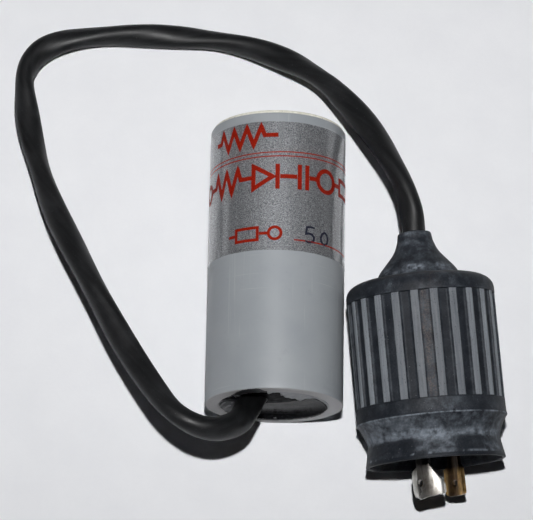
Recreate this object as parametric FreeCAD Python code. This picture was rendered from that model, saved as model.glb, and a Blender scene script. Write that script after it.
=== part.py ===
import FreeCAD, Part
import os, math

os.makedirs("parts", exist_ok=True)
V = FreeCAD.Vector

# ---------------------------------------------------------------- dimensions (mm)
# housing: a length of 1-1/2 inch grey pressure pipe lying on its side
TUBE_OD = 48.26          # outside diameter of the pipe
TUBE_WALL = 5.08         # heavy wall
TUBE_LEN = 100.3         # about four inches
TUBE_EDGE = 0.5          # saw edge broken at both ends
DISC_T = 1.1             # thin closing disc on the far end
DISC_D = 46.8            # a little smaller than the pipe
FOIL_T = 0.10            # metallised label stock
FOIL_START = 49.5        # from the open end
FOIL_END = 96.8
POT_CENTRE = 3.6         # depth of the filled surface below the rim, middle
POT_EDGE = 1.9           # and where it wets the wall

# terminating resistor inside the filling
RES_CORE_D = 12.0
RES_CORE_LEN = 54.0
RES_BODY_D = 15.0
RES_BODY_LEN = 44.0
RES_START = 36.0         # from the open end
RES_CAP_D = 14.0
RES_CAP_LEN = 4.0
WIRE_D = 2.2             # insulated conductor
SPLICE_D = 4.0
SPLICE_LEN = 9.0

# cord
CORD_D = 8.0
TAIL_IN_HOUSING = 15.0   # jacket held in the filling
TAIL_IN_PLUG = 42.0      # jacket inside the plug, up to the wire chamber

# plug: rubber boot over a two part insulating body with two locking blades
PLUG_YAW = 6.114         # degrees, axis turned in plan
LIP_R = 26.31            # raised lip at the front of the grip
SKIRT_R = 24.34          # front lip of the skirt
SKIRT_LEN = 14.96        # grip lip to skirt lip
GRIP_R = 25.94
GRIP_REAR = -45.9
RIB_REAR = -42.67
RIB_FRONT = -5.45
RIB_COUNT = 24
RIB_TOP_W = 3.0          # worn flat top of a rib
RIB_DEPTH = 0.9
RIB_PHASE = 86.4         # middle of one rib, degrees in the plug section
WAIST_R = 23.05
WAIST_Z = 7.6
BOOT_WALL_LIP = 1.4
COLLAR_R = 6.0
COLLAR_REAR = -66.7
BODY_R = 19.6            # insulating body inside the boot
FACE_Z = 6.5             # plug face, recessed in the skirt
SPLIT_Z = -6.0           # joint between front and rear insulating bodies
BODY_REAR = -34.0

# blades, on one circle
BLADE_RO = 10.05
BLADE_T = 1.5
NICKEL_ANG = 119.0       # middle of each blade's terminal pad in the plug section
BRASS_ANG = -40.5
HOLE_R = 1.25

# ---------------------------------------------------------------- derived
R_TUBE = TUBE_OD / 2.0
R_BORE = R_TUBE - TUBE_WALL
AXIS_Z = R_TUBE + FOIL_T                      # the label lies on the table
MOUTH_Y = -(TUBE_LEN + DISC_T) / 2.0          # open end
PLUG_TILT = math.degrees(math.atan((LIP_R - SKIRT_R) / SKIRT_LEN))
PLUG_POS = V(55.06, MOUTH_Y - 4.31, LIP_R * math.cos(math.radians(PLUG_TILT)))
CR = CORD_D / 2.0


def export(shape, name):
    if not shape.isValid():
        print("NOT VALID", name)
    shape.exportStep("parts/%s.step" % name)
    print("%-22s volume %10.1f mm3  solids %d" % (name, shape.Volume, len(shape.Solids)))


def ring(r_out, r_in, y0, y1):
    """a ring about the housing axis, from y0 to y1 measured from the open end"""
    c = V(0, MOUTH_Y + y0, AXIS_Z)
    s = Part.makeCylinder(r_out, y1 - y0, c, V(0, 1, 0))
    if r_in > 0:
        s = s.cut(Part.makeCylinder(r_in, y1 - y0 + 2, c - V(0, 1, 0), V(0, 1, 0)))
    return s


def revolve_y(pts):
    """revolve a closed (radius, distance from the open end) outline about the housing axis"""
    p = [V(r, MOUTH_Y + y, AXIS_Z) for r, y in pts]
    f = Part.Face(Part.makePolygon(p + [p[0]]))
    return f.revolve(V(0, 0, AXIS_Z), V(0, 1, 0), 360)


def revolve_z(pts):
    """revolve a closed (radius, height) outline about the plug's own axis"""
    p = [V(r, 0, z) for r, z in pts]
    f = Part.Face(Part.makePolygon(p + [p[0]]))
    return f.revolve(V(0, 0, 0), V(0, 0, 1), 360)


def rod(a, b, r):
    d = b - a
    return Part.makeCylinder(r, d.Length, a, d)


def wire_run(points, r):
    """a short insulated wire: straight lengths with a ball at every bend"""
    s = None
    for i in range(len(points) - 1):
        c = rod(points[i], points[i + 1], r)
        s = c if s is None else s.fuse(c)
        if i > 0:
            s = s.fuse(Part.makeSphere(r, points[i]))
    return s.removeSplitter()


# ---------------------------------------------------------------- cord route
# straight runs joined by tangent arcs; the points are the corners of the runs,
# distance from the open end in the second number
ROUTE = [
    (-6.41, 2.50, 27.35), (-9.43, -2.59, 31.13), (-12.87, -11.37, 40.97),
    (-23.84, -15.05, 46.58), (-35.31, -9.38, 47.89), (-44.63, 5.01, 38.71),
    (-57.72, 23.51, 32.49), (-69.04, 49.52, 27.13), (-81.48, 75.96, 14.05),
    (-88.54, 98.06, 9.91), (-92.42, 115.38, 8.11), (-93.45, 130.91, 7.03),
    (-81.69, 142.23, 5.77), (-53.66, 146.36, 4.20), (-17.62, 144.77, 4.20),
    (11.09, 131.03, 14.34), (27.29, 111.94, 23.52), (38.31, 92.27, 32.86),
    (46.70, 73.71, 36.43),
]


def plug_matrix():
    yaw = math.radians(PLUG_YAW)
    tilt = math.radians(PLUG_TILT)
    a = V(math.sin(yaw) * math.cos(tilt), -math.cos(yaw) * math.cos(tilt), -math.sin(tilt))
    s = V(math.cos(yaw), math.sin(yaw), 0)
    w = a.cross(s)
    return FreeCAD.Matrix(s.x, w.x, a.x, PLUG_POS.x,
                          s.y, w.y, a.y, PLUG_POS.y,
                          s.z, w.z, a.z, PLUG_POS.z,
                          0, 0, 0, 1), a


PM, PLUG_AXIS = plug_matrix()


def to_plug(shape):
    """from the plug's own frame (z forward) to its place beside the housing"""
    t = shape.copy()
    t.Placement = FreeCAD.Placement(PM)
    return t


COLLAR_POINT = PM.multVec(V(0, 0, COLLAR_REAR))
route = [V(x, y + MOUTH_Y, z) for x, y, z in ROUTE] + [COLLAR_POINT]
# the last run leaves the collar along the plug's axis
last_run = (route[-2] - COLLAR_POINT).Length
route[-2] = COLLAR_POINT - PLUG_AXIS * last_run


def rounded_path(p):
    edges, radii, length = [], [], 0.0
    start = p[0]
    for i in range(1, len(p) - 1):
        a = (p[i - 1] - p[i])
        b = (p[i + 1] - p[i])
        la, lb = a.Length, b.Length
        a.normalize()
        b.normalize()
        turn = math.pi - a.getAngle(b)
        cut = 0.45 * min(la, lb)
        rad = cut / math.tan(turn / 2.0)
        t0, t1 = p[i] + a * cut, p[i] + b * cut
        bis = (a + b)
        bis.normalize()
        centre = p[i] + bis * (rad / math.cos(turn / 2.0))
        mid = centre - bis * rad
        edges.append(Part.LineSegment(start, t0).toShape())
        edges.append(Part.Arc(t0, mid, t1).toShape())
        length += (t0 - start).Length + rad * turn
        radii.append(round(rad, 1))
        start = t1
    edges.append(Part.LineSegment(start, p[-1]).toShape())
    length += (p[-1] - start).Length
    return Part.Wire(edges), radii, length


path, radii, cord_len = rounded_path(route)
runs = [(route[i + 1] - route[i]).Length for i in range(len(route) - 1)]
print("cord runs", [round(r, 1) for r in runs])
print("cord arc radii", radii)
exit_dir = (route[1] - route[0])
exit_dir.normalize()
profile = Part.Wire(Part.makeCircle(CR, route[0], exit_dir))
cord = path.makePipeShell([profile], True, False)
print("cord length %.1f mm, volume %.1f, section x length %.1f"
      % (cord_len, cord.Volume, math.pi * CR * CR * cord_len))

# ---------------------------------------------------------------- housing
e = TUBE_EDGE
tube = revolve_y([(R_BORE, e), (R_BORE + e, 0), (R_TUBE - e, 0), (R_TUBE, e),
                  (R_TUBE, TUBE_LEN - e), (R_TUBE - e, TUBE_LEN), (R_BORE, TUBE_LEN)])
disc = revolve_y([(0, TUBE_LEN), (DISC_D / 2, TUBE_LEN), (DISC_D / 2, TUBE_LEN + DISC_T - 0.3),
                  (DISC_D / 2 - 0.3, TUBE_LEN + DISC_T), (0, TUBE_LEN + DISC_T)])
foil = ring(R_TUBE + FOIL_T, R_TUBE, FOIL_START, FOIL_END)


def H(x, y, z):
    """a point in the housing: x, distance from the open end, height from the axis"""
    return V(x, MOUTH_Y + y, AXIS_Z + z)


tail_end = route[0] - exit_dir * TAIL_IN_HOUSING
tail_h = rod(tail_end, route[0], CR)

core_end = RES_START + RES_CORE_LEN
body0 = RES_START + (RES_CORE_LEN - RES_BODY_LEN) / 2.0
res_core = ring(RES_CORE_D / 2, 2.2, RES_START, core_end)
res_body = revolve_y([(RES_CORE_D / 2, body0), (RES_BODY_D / 2 - 0.5, body0), (RES_BODY_D / 2, body0 + 1.0),
                      (RES_BODY_D / 2, body0 + RES_BODY_LEN - 1.0), (RES_BODY_D / 2 - 0.5, body0 + RES_BODY_LEN),
                      (RES_CORE_D / 2, body0 + RES_BODY_LEN)])


def end_cap(y0):
    """metal band on the end of the ceramic, with a lug standing up from it"""
    band = ring(RES_CAP_D / 2, RES_CORE_D / 2, y0, y0 + RES_CAP_LEN)
    lug = Part.makeBox(3.0, RES_CAP_LEN, 4.0, H(-1.5, y0, RES_CAP_D / 2 - 0.6))
    hole = Part.makeCylinder(R_TUBE, RES_CAP_LEN + 2, H(0, y0 - 1, 0), V(0, 1, 0))
    lug = lug.common(hole).cut(Part.makeCylinder(RES_CORE_D / 2, RES_CAP_LEN + 2, H(0, y0 - 1, 0), V(0, 1, 0)))
    return band.fuse(lug).removeSplitter()


cap_front = end_cap(RES_START + 0.4)
cap_rear = end_cap(core_end - RES_CAP_LEN - 0.4)

LUG_Z = RES_CAP_D / 2 + 3.4
# conductor to the near band: out of the jacket, through its splice, down to the lug
SPLICE_Y0 = 21.0
wr = WIRE_D / 2
side = exit_dir.cross(V(0, 0, 1))
side.normalize()
p_a0 = tail_end - side * 1.6
p_b0 = tail_end + side * 1.6
splice_a = rod(H(4.5, SPLICE_Y0, 4.0), H(4.5, SPLICE_Y0 + SPLICE_LEN, 4.0), SPLICE_D / 2)
splice_b = rod(H(-5.5, SPLICE_Y0 + 2, -4.0), H(-5.5, SPLICE_Y0 + 2 + SPLICE_LEN, -4.0), SPLICE_D / 2)
splices = Part.makeCompound([splice_a, splice_b])
wire_a = wire_run([p_a0, p_a0 - exit_dir * 1.6, H(4.5, SPLICE_Y0 - 2.0, 4.0), H(4.5, SPLICE_Y0, 4.0)], wr)
wire_b = wire_run([p_b0, p_b0 - exit_dir * 1.6, H(-5.5, SPLICE_Y0, -4.0), H(-5.5, SPLICE_Y0 + 2, -4.0)], wr)
# bare leads from the splices to the lugs
LEAD_R = 0.8
lug_front = H(0, RES_START + 0.4, LUG_Z)
lead_front = wire_run([H(4.5, SPLICE_Y0 + SPLICE_LEN, 4.0), H(4.5, SPLICE_Y0 + SPLICE_LEN + 1.2, 4.0),
                       H(0, RES_START - 1.6, LUG_Z), lug_front], LEAD_R)
lead_rear = wire_run([H(-5.5, SPLICE_Y0 + 2 + SPLICE_LEN, -4.0), H(-5.5, SPLICE_Y0 + 3 + SPLICE_LEN, -4.0),
                      H(-11.5, RES_START + 3.0, -4.0), H(-11.5, core_end + 3.0, -4.0),
                      H(0, core_end + 3.0, LUG_Z), H(0, core_end - 0.4, LUG_Z)], LEAD_R)

inner = [tail_h, res_core, res_body, cap_front, cap_rear, splice_a, splice_b, wire_a, wire_b, lead_front, lead_rear]

# the filling: wets the wall and climbs a little round the cord
steps = 8
surf = []
for k in range(steps + 1):
    q = k / float(steps)
    r = R_BORE * q
    surf.append((r, POT_CENTRE - (POT_CENTRE - POT_EDGE) * q ** 5))
pot = revolve_y(surf + [(R_BORE, TUBE_LEN), (0, TUBE_LEN)])
boss = Part.makeCone(CR + 2.4, CR + 0.7, 6.0, route[0] - exit_dir * 6.0, exit_dir)
pot = pot.fuse(boss)
for s in inner:
    pot = pot.cut(s)
pot = pot.cut(cord)
pot = pot.removeSplitter()

# ---------------------------------------------------------------- plug, in its own frame
grip = [
    (0, COLLAR_REAR), (COLLAR_R - 0.9, COLLAR_REAR), (COLLAR_R - 0.25, COLLAR_REAR + 0.3),
    (COLLAR_R, COLLAR_REAR + 1.0), (COLLAR_R + 0.5, -63.1), (6.9, -61.9), (7.6, -60.3), (8.6, -58.8),
    (9.9, -57.2), (11.3, -55.6), (12.7, -54.0), (13.7, -52.6), (14.4, -51.2), (14.6, -50.1),
    (15.2, -49.8), (19.5, -49.68), (21.6, -49.4), (23.2, -48.9), (24.5, -48.0), (25.4, -46.9), (GRIP_R - 0.1, GRIP_REAR),
    (GRIP_R + 0.05, -44.9), (GRIP_R + 0.05, RIB_REAR),
    (GRIP_R + 0.05, RIB_FRONT), (GRIP_R + 0.12, -2.0), (LIP_R - 0.15, -0.5), (LIP_R, 0),
    (LIP_R - 0.25, 0.35), (WAIST_R + 0.45, WAIST_Z - 0.9), (WAIST_R, WAIST_Z), (WAIST_R + 0.1, WAIST_Z + 0.8),
    (SKIRT_R - 0.15, SKIRT_LEN - 1.0), (SKIRT_R, SKIRT_LEN - 0.35), (SKIRT_R - 0.35, SKIRT_LEN), (0, SKIRT_LEN),
]
boot = revolve_z(grip)
# rib gaps: straight slots between the raised ribs
pitch = 360.0 / RIB_COUNT
half_top = math.degrees(math.asin(RIB_TOP_W / 2.0 / GRIP_R))
ro, ri = GRIP_R + 2.0, GRIP_R + 0.05 - RIB_DEPTH
a0, a1 = math.radians(half_top), math.radians(pitch - half_top)


def pt(r, a, z):
    return V(r * math.cos(a), r * math.sin(a), z)


am = (a0 + a1) / 2.0
n_in = 0.010   # floor of a gap a little narrower than its top
gap_wire = Part.Wire([
    Part.LineSegment(pt(GRIP_R + 0.05, a0, RIB_REAR), pt(ro, a0 - 0.01, RIB_REAR)).toShape(),
    Part.Arc(pt(ro, a0 - 0.01, RIB_REAR), pt(ro, am, RIB_REAR), pt(ro, a1 + 0.01, RIB_REAR)).toShape(),
    Part.LineSegment(pt(ro, a1 + 0.01, RIB_REAR), pt(GRIP_R + 0.05, a1, RIB_REAR)).toShape(),
    Part.LineSegment(pt(GRIP_R + 0.05, a1, RIB_REAR), pt(ri, a1 - n_in, RIB_REAR)).toShape(),
    Part.Arc(pt(ri, a1 - n_in, RIB_REAR), pt(ri, am, RIB_REAR), pt(ri, a0 + n_in, RIB_REAR)).toShape(),
    Part.LineSegment(pt(ri, a0 + n_in, RIB_REAR), pt(GRIP_R + 0.05, a0, RIB_REAR)).toShape(),
])
gap = Part.Face(gap_wire).extrude(V(0, 0, RIB_FRONT - RIB_REAR))
gaps = []
for k in range(RIB_COUNT):
    g = gap.copy()
    g.rotate(V(0, 0, 0), V(0, 0, 1), RIB_PHASE + k * pitch)
    gaps.append(g)
boot = boot.cut(Part.makeCompound(gaps))
# inside: skirt, body seat, cord clamp space and cord hole
cavity = revolve_z([(0, SKIRT_LEN + 1), (SKIRT_R - BOOT_WALL_LIP + 0.15, SKIRT_LEN + 1), (SKIRT_R - BOOT_WALL_LIP, SKIRT_LEN - 0.3),
                    (21.0, WAIST_Z), (20.4, FACE_Z), (BODY_R, FACE_Z - 0.3), (BODY_R, BODY_REAR), (13.0, BODY_REAR),
                    (13.0, -45.5), (0, -45.5)])
boot = boot.cut(cavity).cut(Part.makeCylinder(CR, 40, V(0, 0, COLLAR_REAR - 1)))


def polar(r, ang, z):
    a = math.radians(ang)
    return V(r * math.cos(a), r * math.sin(a), z)


def tangent_frame(ang):
    a = math.radians(ang)
    return V(math.cos(a), math.sin(a), 0), V(-math.sin(a), math.cos(a), 0)


def radial_prism(ang, outline, r0, r1):
    """outline of (distance along the tangent, z), standing from radius r0 to r1"""
    er, et = tangent_frame(ang)
    p = [er * r0 + et * q + V(0, 0, z) for q, z in outline]
    return Part.Face(Part.makePolygon(p + [p[0]])).extrude(er * (r1 - r0))


PAD_Z0, PAD_Z1, PAD_W = -17.0, -5.0, 8.0
PAD_R0 = 7.6


def blade(ang, outline, hole_ang, hole_z):
    """curved blade on its circle, carried on a flat terminal pad inside the body"""
    sheet = Part.makeCylinder(BLADE_RO, 60, V(0, 0, -20)).cut(
        Part.makeCylinder(BLADE_RO - BLADE_T, 62, V(0, 0, -21)))
    b = sheet.common(radial_prism(ang, outline, 3.0, BLADE_RO + 2))
    er, et = tangent_frame(ang)
    pad = radial_prism(ang, [(-PAD_W / 2, PAD_Z0), (PAD_W / 2, PAD_Z0), (PAD_W / 2, PAD_Z1), (-PAD_W / 2, PAD_Z1)],
                       PAD_R0, PAD_R0 + BLADE_T)
    b = b.fuse(pad)
    hr, _ = tangent_frame(hole_ang)
    b = b.cut(Part.makeCylinder(HOLE_R, 8, hr * 6.0 + V(0, 0, hole_z), hr))
    b = b.cut(Part.makeCylinder(1.7, 8, er * 5.0 + V(0, 0, -13.0), er))
    return b.removeSplitter()


# outlines as (distance along the tangent, z): a narrow neck, then the wide locking tip
NICKEL = [(-1.4, -8.0), (-1.4, 16.0), (-2.7, 18.0), (-4.0, 20.0), (-5.15, 21.4), (-5.6, 22.9), (-5.6, 25.6),
          (-5.2, 26.15), (-3.7, 26.4), (-1.9, 26.6), (0.7, 26.8), (2.2, 27.3), (3.6, 27.25), (5.3, 26.2),
          (6.0, 24.2), (6.1, 20.0), (5.9, 17.7), (3.6, 16.3), (3.6, -8.0)]
BRASS = [(-2.2, -8.0), (-2.2, 15.2), (-3.75, 16.9), (-3.75, 25.0), (-3.3, 25.7), (-2.5, 26.1), (0.2, 26.25),
         (3.5, 26.1), (4.8, 25.9), (5.3, 25.2), (4.85, 17.0), (3.0, 15.2), (3.0, -8.0)]
blade_n = blade(NICKEL_ANG, NICKEL, 133.1, 21.9)
blade_b = blade(BRASS_ANG, BRASS, -40.0, 21.75)

# terminal screws (pan head outside the pad) and square clamp plates inside it
screws, plates = [], []
for ang in (NICKEL_ANG, BRASS_ANG):
    er, et = tangent_frame(ang)
    c = V(0, 0, -13.0)
    sh = Part.makeCylinder(1.7, PAD_R0 + BLADE_T - 4.2, er * 4.2 + c, er)
    hd = Part.makeCylinder(3.1, 2.2, er * (PAD_R0 + BLADE_T) + c, er)
    slot = radial_prism(ang, [(-4, -13.4), (4, -13.4), (4, -12.6), (-4, -12.6)], PAD_R0 + BLADE_T + 1.3,
                        PAD_R0 + BLADE_T + 3)
    screws.append(sh.fuse(hd).cut(slot).removeSplitter())
    pl = radial_prism(ang, [(-3.4, -16.4), (3.4, -16.4), (3.4, -9.6), (-3.4, -9.6)], 4.4, 5.9)
    plates.append(pl.cut(Part.makeCylinder(1.7, 8, er * 3.0 + c, er)))
screw_grp = Part.makeCompound(screws)
plate_grp = Part.makeCompound(plates)

# front insulating body with the two curved slots
face = revolve_z([(0, SPLIT_Z), (BODY_R, SPLIT_Z), (BODY_R, FACE_Z - 0.8), (BODY_R - 0.8, FACE_Z), (0, FACE_Z)])
# rear insulating body: wire chamber, two terminal pockets open to the side, cord hole
rear = revolve_z([(0, BODY_REAR), (BODY_R - 0.6, BODY_REAR), (BODY_R, BODY_REAR + 0.6), (BODY_R, SPLIT_Z), (0, SPLIT_Z)])
rear = rear.cut(Part.makeCylinder(4.1, 12, V(0, 0, BODY_REAR - 1)))
rear = rear.cut(Part.makeCylinder(7.0, 8.0, V(0, 0, -25.0)))
for ang in (NICKEL_ANG, BRASS_ANG):
    rear = rear.cut(radial_prism(ang, [(-5.0, -18.0), (5.0, -18.0), (5.0, SPLIT_Z + 1), (-5.0, SPLIT_Z + 1)], 3.9, BODY_R + 1))
    er, et = tangent_frame(ang)

# two long screws hold the insulating bodies together
ASM_R = 13.6
asm = []
for ang in (29.0, 209.0):
    c = polar(ASM_R, ang, 0)
    sh = Part.makeCylinder(1.5, FACE_Z - 2.6 + 26.0, c + V(0, 0, -26.0))
    hd = Part.makeCylinder(2.9, 2.0, c + V(0, 0, FACE_Z - 2.6))
    slot = Part.makeBox(8, 0.8, 1.0, c + V(-4, -0.4, FACE_Z - 1.4))
    s = sh.fuse(hd).removeSplitter()
    face = face.cut(Part.makeCylinder(2.9, 4.0, c + V(0, 0, FACE_Z - 2.6))).cut(sh)
    rear = rear.cut(sh)
    asm.append(s.cut(slot))
asm_grp = Part.makeCompound(asm)
face = face.cut(blade_n).cut(blade_b)

# cord clamp: two saddle halves behind the rear body, drawn together by two screws
CL_Z0, CL_Z1 = -43.0, BODY_REAR
half_up = Part.makeBox(20.0, 6.0, CL_Z1 - CL_Z0, V(-10.0, 0.3, CL_Z0))
half_dn = Part.makeBox(20.0, 6.0, CL_Z1 - CL_Z0, V(-10.0, -6.3, CL_Z0))
jaw = Part.makeCylinder(CR, 12, V(0, 0, CL_Z0 - 1))
half_up, half_dn = half_up.cut(jaw), half_dn.cut(jaw)
clamp_screws = []
for x in (-7.2, 7.2):
    c = V(x, -7.9, (CL_Z0 + CL_Z1) / 2.0)
    sh = Part.makeCylinder(1.4, 14.2, c, V(0, 1, 0))
    hd = Part.makeCylinder(2.4, 1.6, c, V(0, 1, 0))
    s = sh.fuse(hd).removeSplitter()
    half_up, half_dn = half_up.cut(s), half_dn.cut(s)
    clamp_screws.append(s)
clamp_screw_grp = Part.makeCompound(clamp_screws)

# jacket and conductors inside the plug
tail_p = Part.makeCylinder(CR, TAIL_IN_PLUG, V(0, 0, COLLAR_REAR))
t_end = COLLAR_REAR + TAIL_IN_PLUG
pw = []
for ang, off in ((NICKEL_ANG, 119.0), (BRASS_ANG, -40.5)):
    er, et = tangent_frame(ang)
    z_in = -18.6
    start = er * 1.6 + V(0, 0, t_end)
    mid = er * 3.0 + V(0, 0, z_in - 2.0)
    end_ = er * 6.75 + V(0, 0, -17.2)
    w_ = wire_run([start, start + V(0, 0, 2.0), mid, end_, er * 6.75 + V(0, 0, -14.8)], 0.85)
    w_ = w_.cut(Part.makeCylinder(1.7, 14, er * 1.0 + V(0, 0, -13.0), er))
    pw.append(w_)
for s in pw:
    rear = rear.cut(s)
rear = rear.removeSplitter()
face = face.removeSplitter()

# ---------------------------------------------------------------- write every piece
export(tube, "housing_tube")
export(disc, "end_disc")
export(foil, "foil_label")
export(pot, "potting_compound")
export(tail_h, "cord_end_in_housing")
export(res_core, "resistor_core")
export(res_body, "resistor_winding")
export(cap_front, "resistor_band_near")
export(cap_rear, "resistor_band_far")
export(splices, "crimp_splices")
export(wire_a, "conductor_light")
export(wire_b, "conductor_dark")
export(lead_front, "lead_near")
export(lead_rear, "lead_far")
export(cord, "cord")
export(to_plug(boot), "plug_boot")
export(to_plug(face), "plug_face")
export(to_plug(rear), "plug_rear_body")
export(to_plug(blade_n), "blade_nickel")
export(to_plug(blade_b), "blade_brass")
export(to_plug(screw_grp), "terminal_screws")
export(to_plug(plate_grp), "terminal_plates")
export(to_plug(asm_grp), "body_screws")
export(to_plug(half_up), "cord_clamp_upper")
export(to_plug(half_dn), "cord_clamp_lower")
export(to_plug(clamp_screw_grp), "cord_clamp_screws")
export(to_plug(tail_p), "cord_end_in_plug")
export(to_plug(pw[0]), "plug_wire_light")
export(to_plug(pw[1]), "plug_wire_dark")
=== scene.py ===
import bpy
import bmesh
import math
import numpy as np
from mathutils import Matrix, Vector, noise


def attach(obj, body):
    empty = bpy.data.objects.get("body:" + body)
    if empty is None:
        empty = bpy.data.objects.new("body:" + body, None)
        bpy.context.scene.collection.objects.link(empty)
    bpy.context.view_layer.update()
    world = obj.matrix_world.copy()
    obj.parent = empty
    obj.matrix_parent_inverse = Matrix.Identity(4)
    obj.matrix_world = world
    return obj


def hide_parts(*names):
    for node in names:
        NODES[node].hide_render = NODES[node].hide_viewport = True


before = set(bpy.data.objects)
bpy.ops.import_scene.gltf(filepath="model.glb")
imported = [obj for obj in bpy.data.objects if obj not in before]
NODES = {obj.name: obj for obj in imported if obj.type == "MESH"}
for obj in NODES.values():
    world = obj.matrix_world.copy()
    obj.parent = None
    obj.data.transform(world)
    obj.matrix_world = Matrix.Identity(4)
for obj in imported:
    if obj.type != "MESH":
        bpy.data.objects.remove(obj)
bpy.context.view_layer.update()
SC = bpy.context.scene
MM = 0.001

# ------------------------------------------------------------------ sizes (mm), row frame
AXIS_Z = 24.23
MOUTH_Y = -50.7
TUBE_LEN = 100.3
R_TUBE = 24.13
R_BORE = 19.05
FOIL_Y0, FOIL_Y1 = MOUTH_Y + 49.5, MOUTH_Y + 96.8
R_FOIL = R_TUBE + 0.10
PLUG = Matrix(((0.99431, 0.0139053, 0.1055954, 0.05506),
               (0.10651, -0.1298148, -0.9858014, -0.05501),
               (0.0, 0.9914408, -0.1305574, 0.0260848),
               (0.0, 0.0, 0.0, 1.0)))
CR = 4.0
COLLAR_REAR = -66.7


# ------------------------------------------------------------------ small helpers
def smooth(a, b, x):
    t = min(1.0, max(0.0, (x - a) / (b - a)))
    return t * t * (3 - 2 * t)


def bump_at(x, c, w):
    """a soft hump of half width w round c"""
    t = abs(x - c) / w
    return 0.0 if t >= 1 else (1 - t * t) ** 2


def nz(x, y, z, s=1.0, o=0.0):
    return noise.noise(Vector((x * s + o, y * s + 1.7 * o, z * s - o)))


def fbm(x, y, z, s, octaves=4, o=0.0):
    v, a, t = 0.0, 1.0, 0.0
    for k in range(octaves):
        v += a * nz(x, y, z, s * 2 ** k, o + 11.3 * k)
        t += a
        a *= 0.55
    return v / t


def own_coordinates(me):
    co = np.zeros(3 * len(me.vertices), np.float32)
    me.vertices.foreach_get("co", co)
    me.attributes.new("loc", "FLOAT_VECTOR", "POINT").data.foreach_set("vector", co)


def mesh_object(name, verts, faces, mat, matrix=None, flat=False):
    """verts in millimetres; a matrix is baked into them, and the piece's own coordinates stay as an attribute"""
    me = bpy.data.meshes.new(name)
    me.from_pydata([(v[0] * MM, v[1] * MM, v[2] * MM) for v in verts], [], faces)
    me.validate()
    me.update()
    ob = bpy.data.objects.new(name, me)
    SC.collection.objects.link(ob)
    if matrix is not None:
        own_coordinates(me)
        me.transform(matrix)
    if not flat:
        for p in me.polygons:
            p.use_smooth = True
    me.materials.append(mat)
    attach(ob, "root")
    return ob


def outward(ob):
    bm = bmesh.new()
    bm.from_mesh(ob.data)
    bmesh.ops.recalc_face_normals(bm, faces=bm.faces[:])
    bm.to_mesh(ob.data)
    bm.free()


def attribute(ob, name, values):
    a = ob.data.attributes.new(name, "FLOAT", "POINT")
    a.data.foreach_set("value", np.asarray(values, np.float32))


def attribute3(ob, name, values):
    a = ob.data.attributes.new(name, "FLOAT_VECTOR", "POINT")
    a.data.foreach_set("vector", np.asarray(values, np.float32).ravel())


def sharp_by_angle(ob, deg):
    """edges steeper than deg are shaded sharp"""
    bm = bmesh.new()
    bm.from_mesh(ob.data)
    for e in bm.edges:
        if len(e.link_faces) == 2 and e.calc_face_angle(0.0) > math.radians(deg):
            e.smooth = False
    bm.to_mesh(ob.data)
    bm.free()


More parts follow.
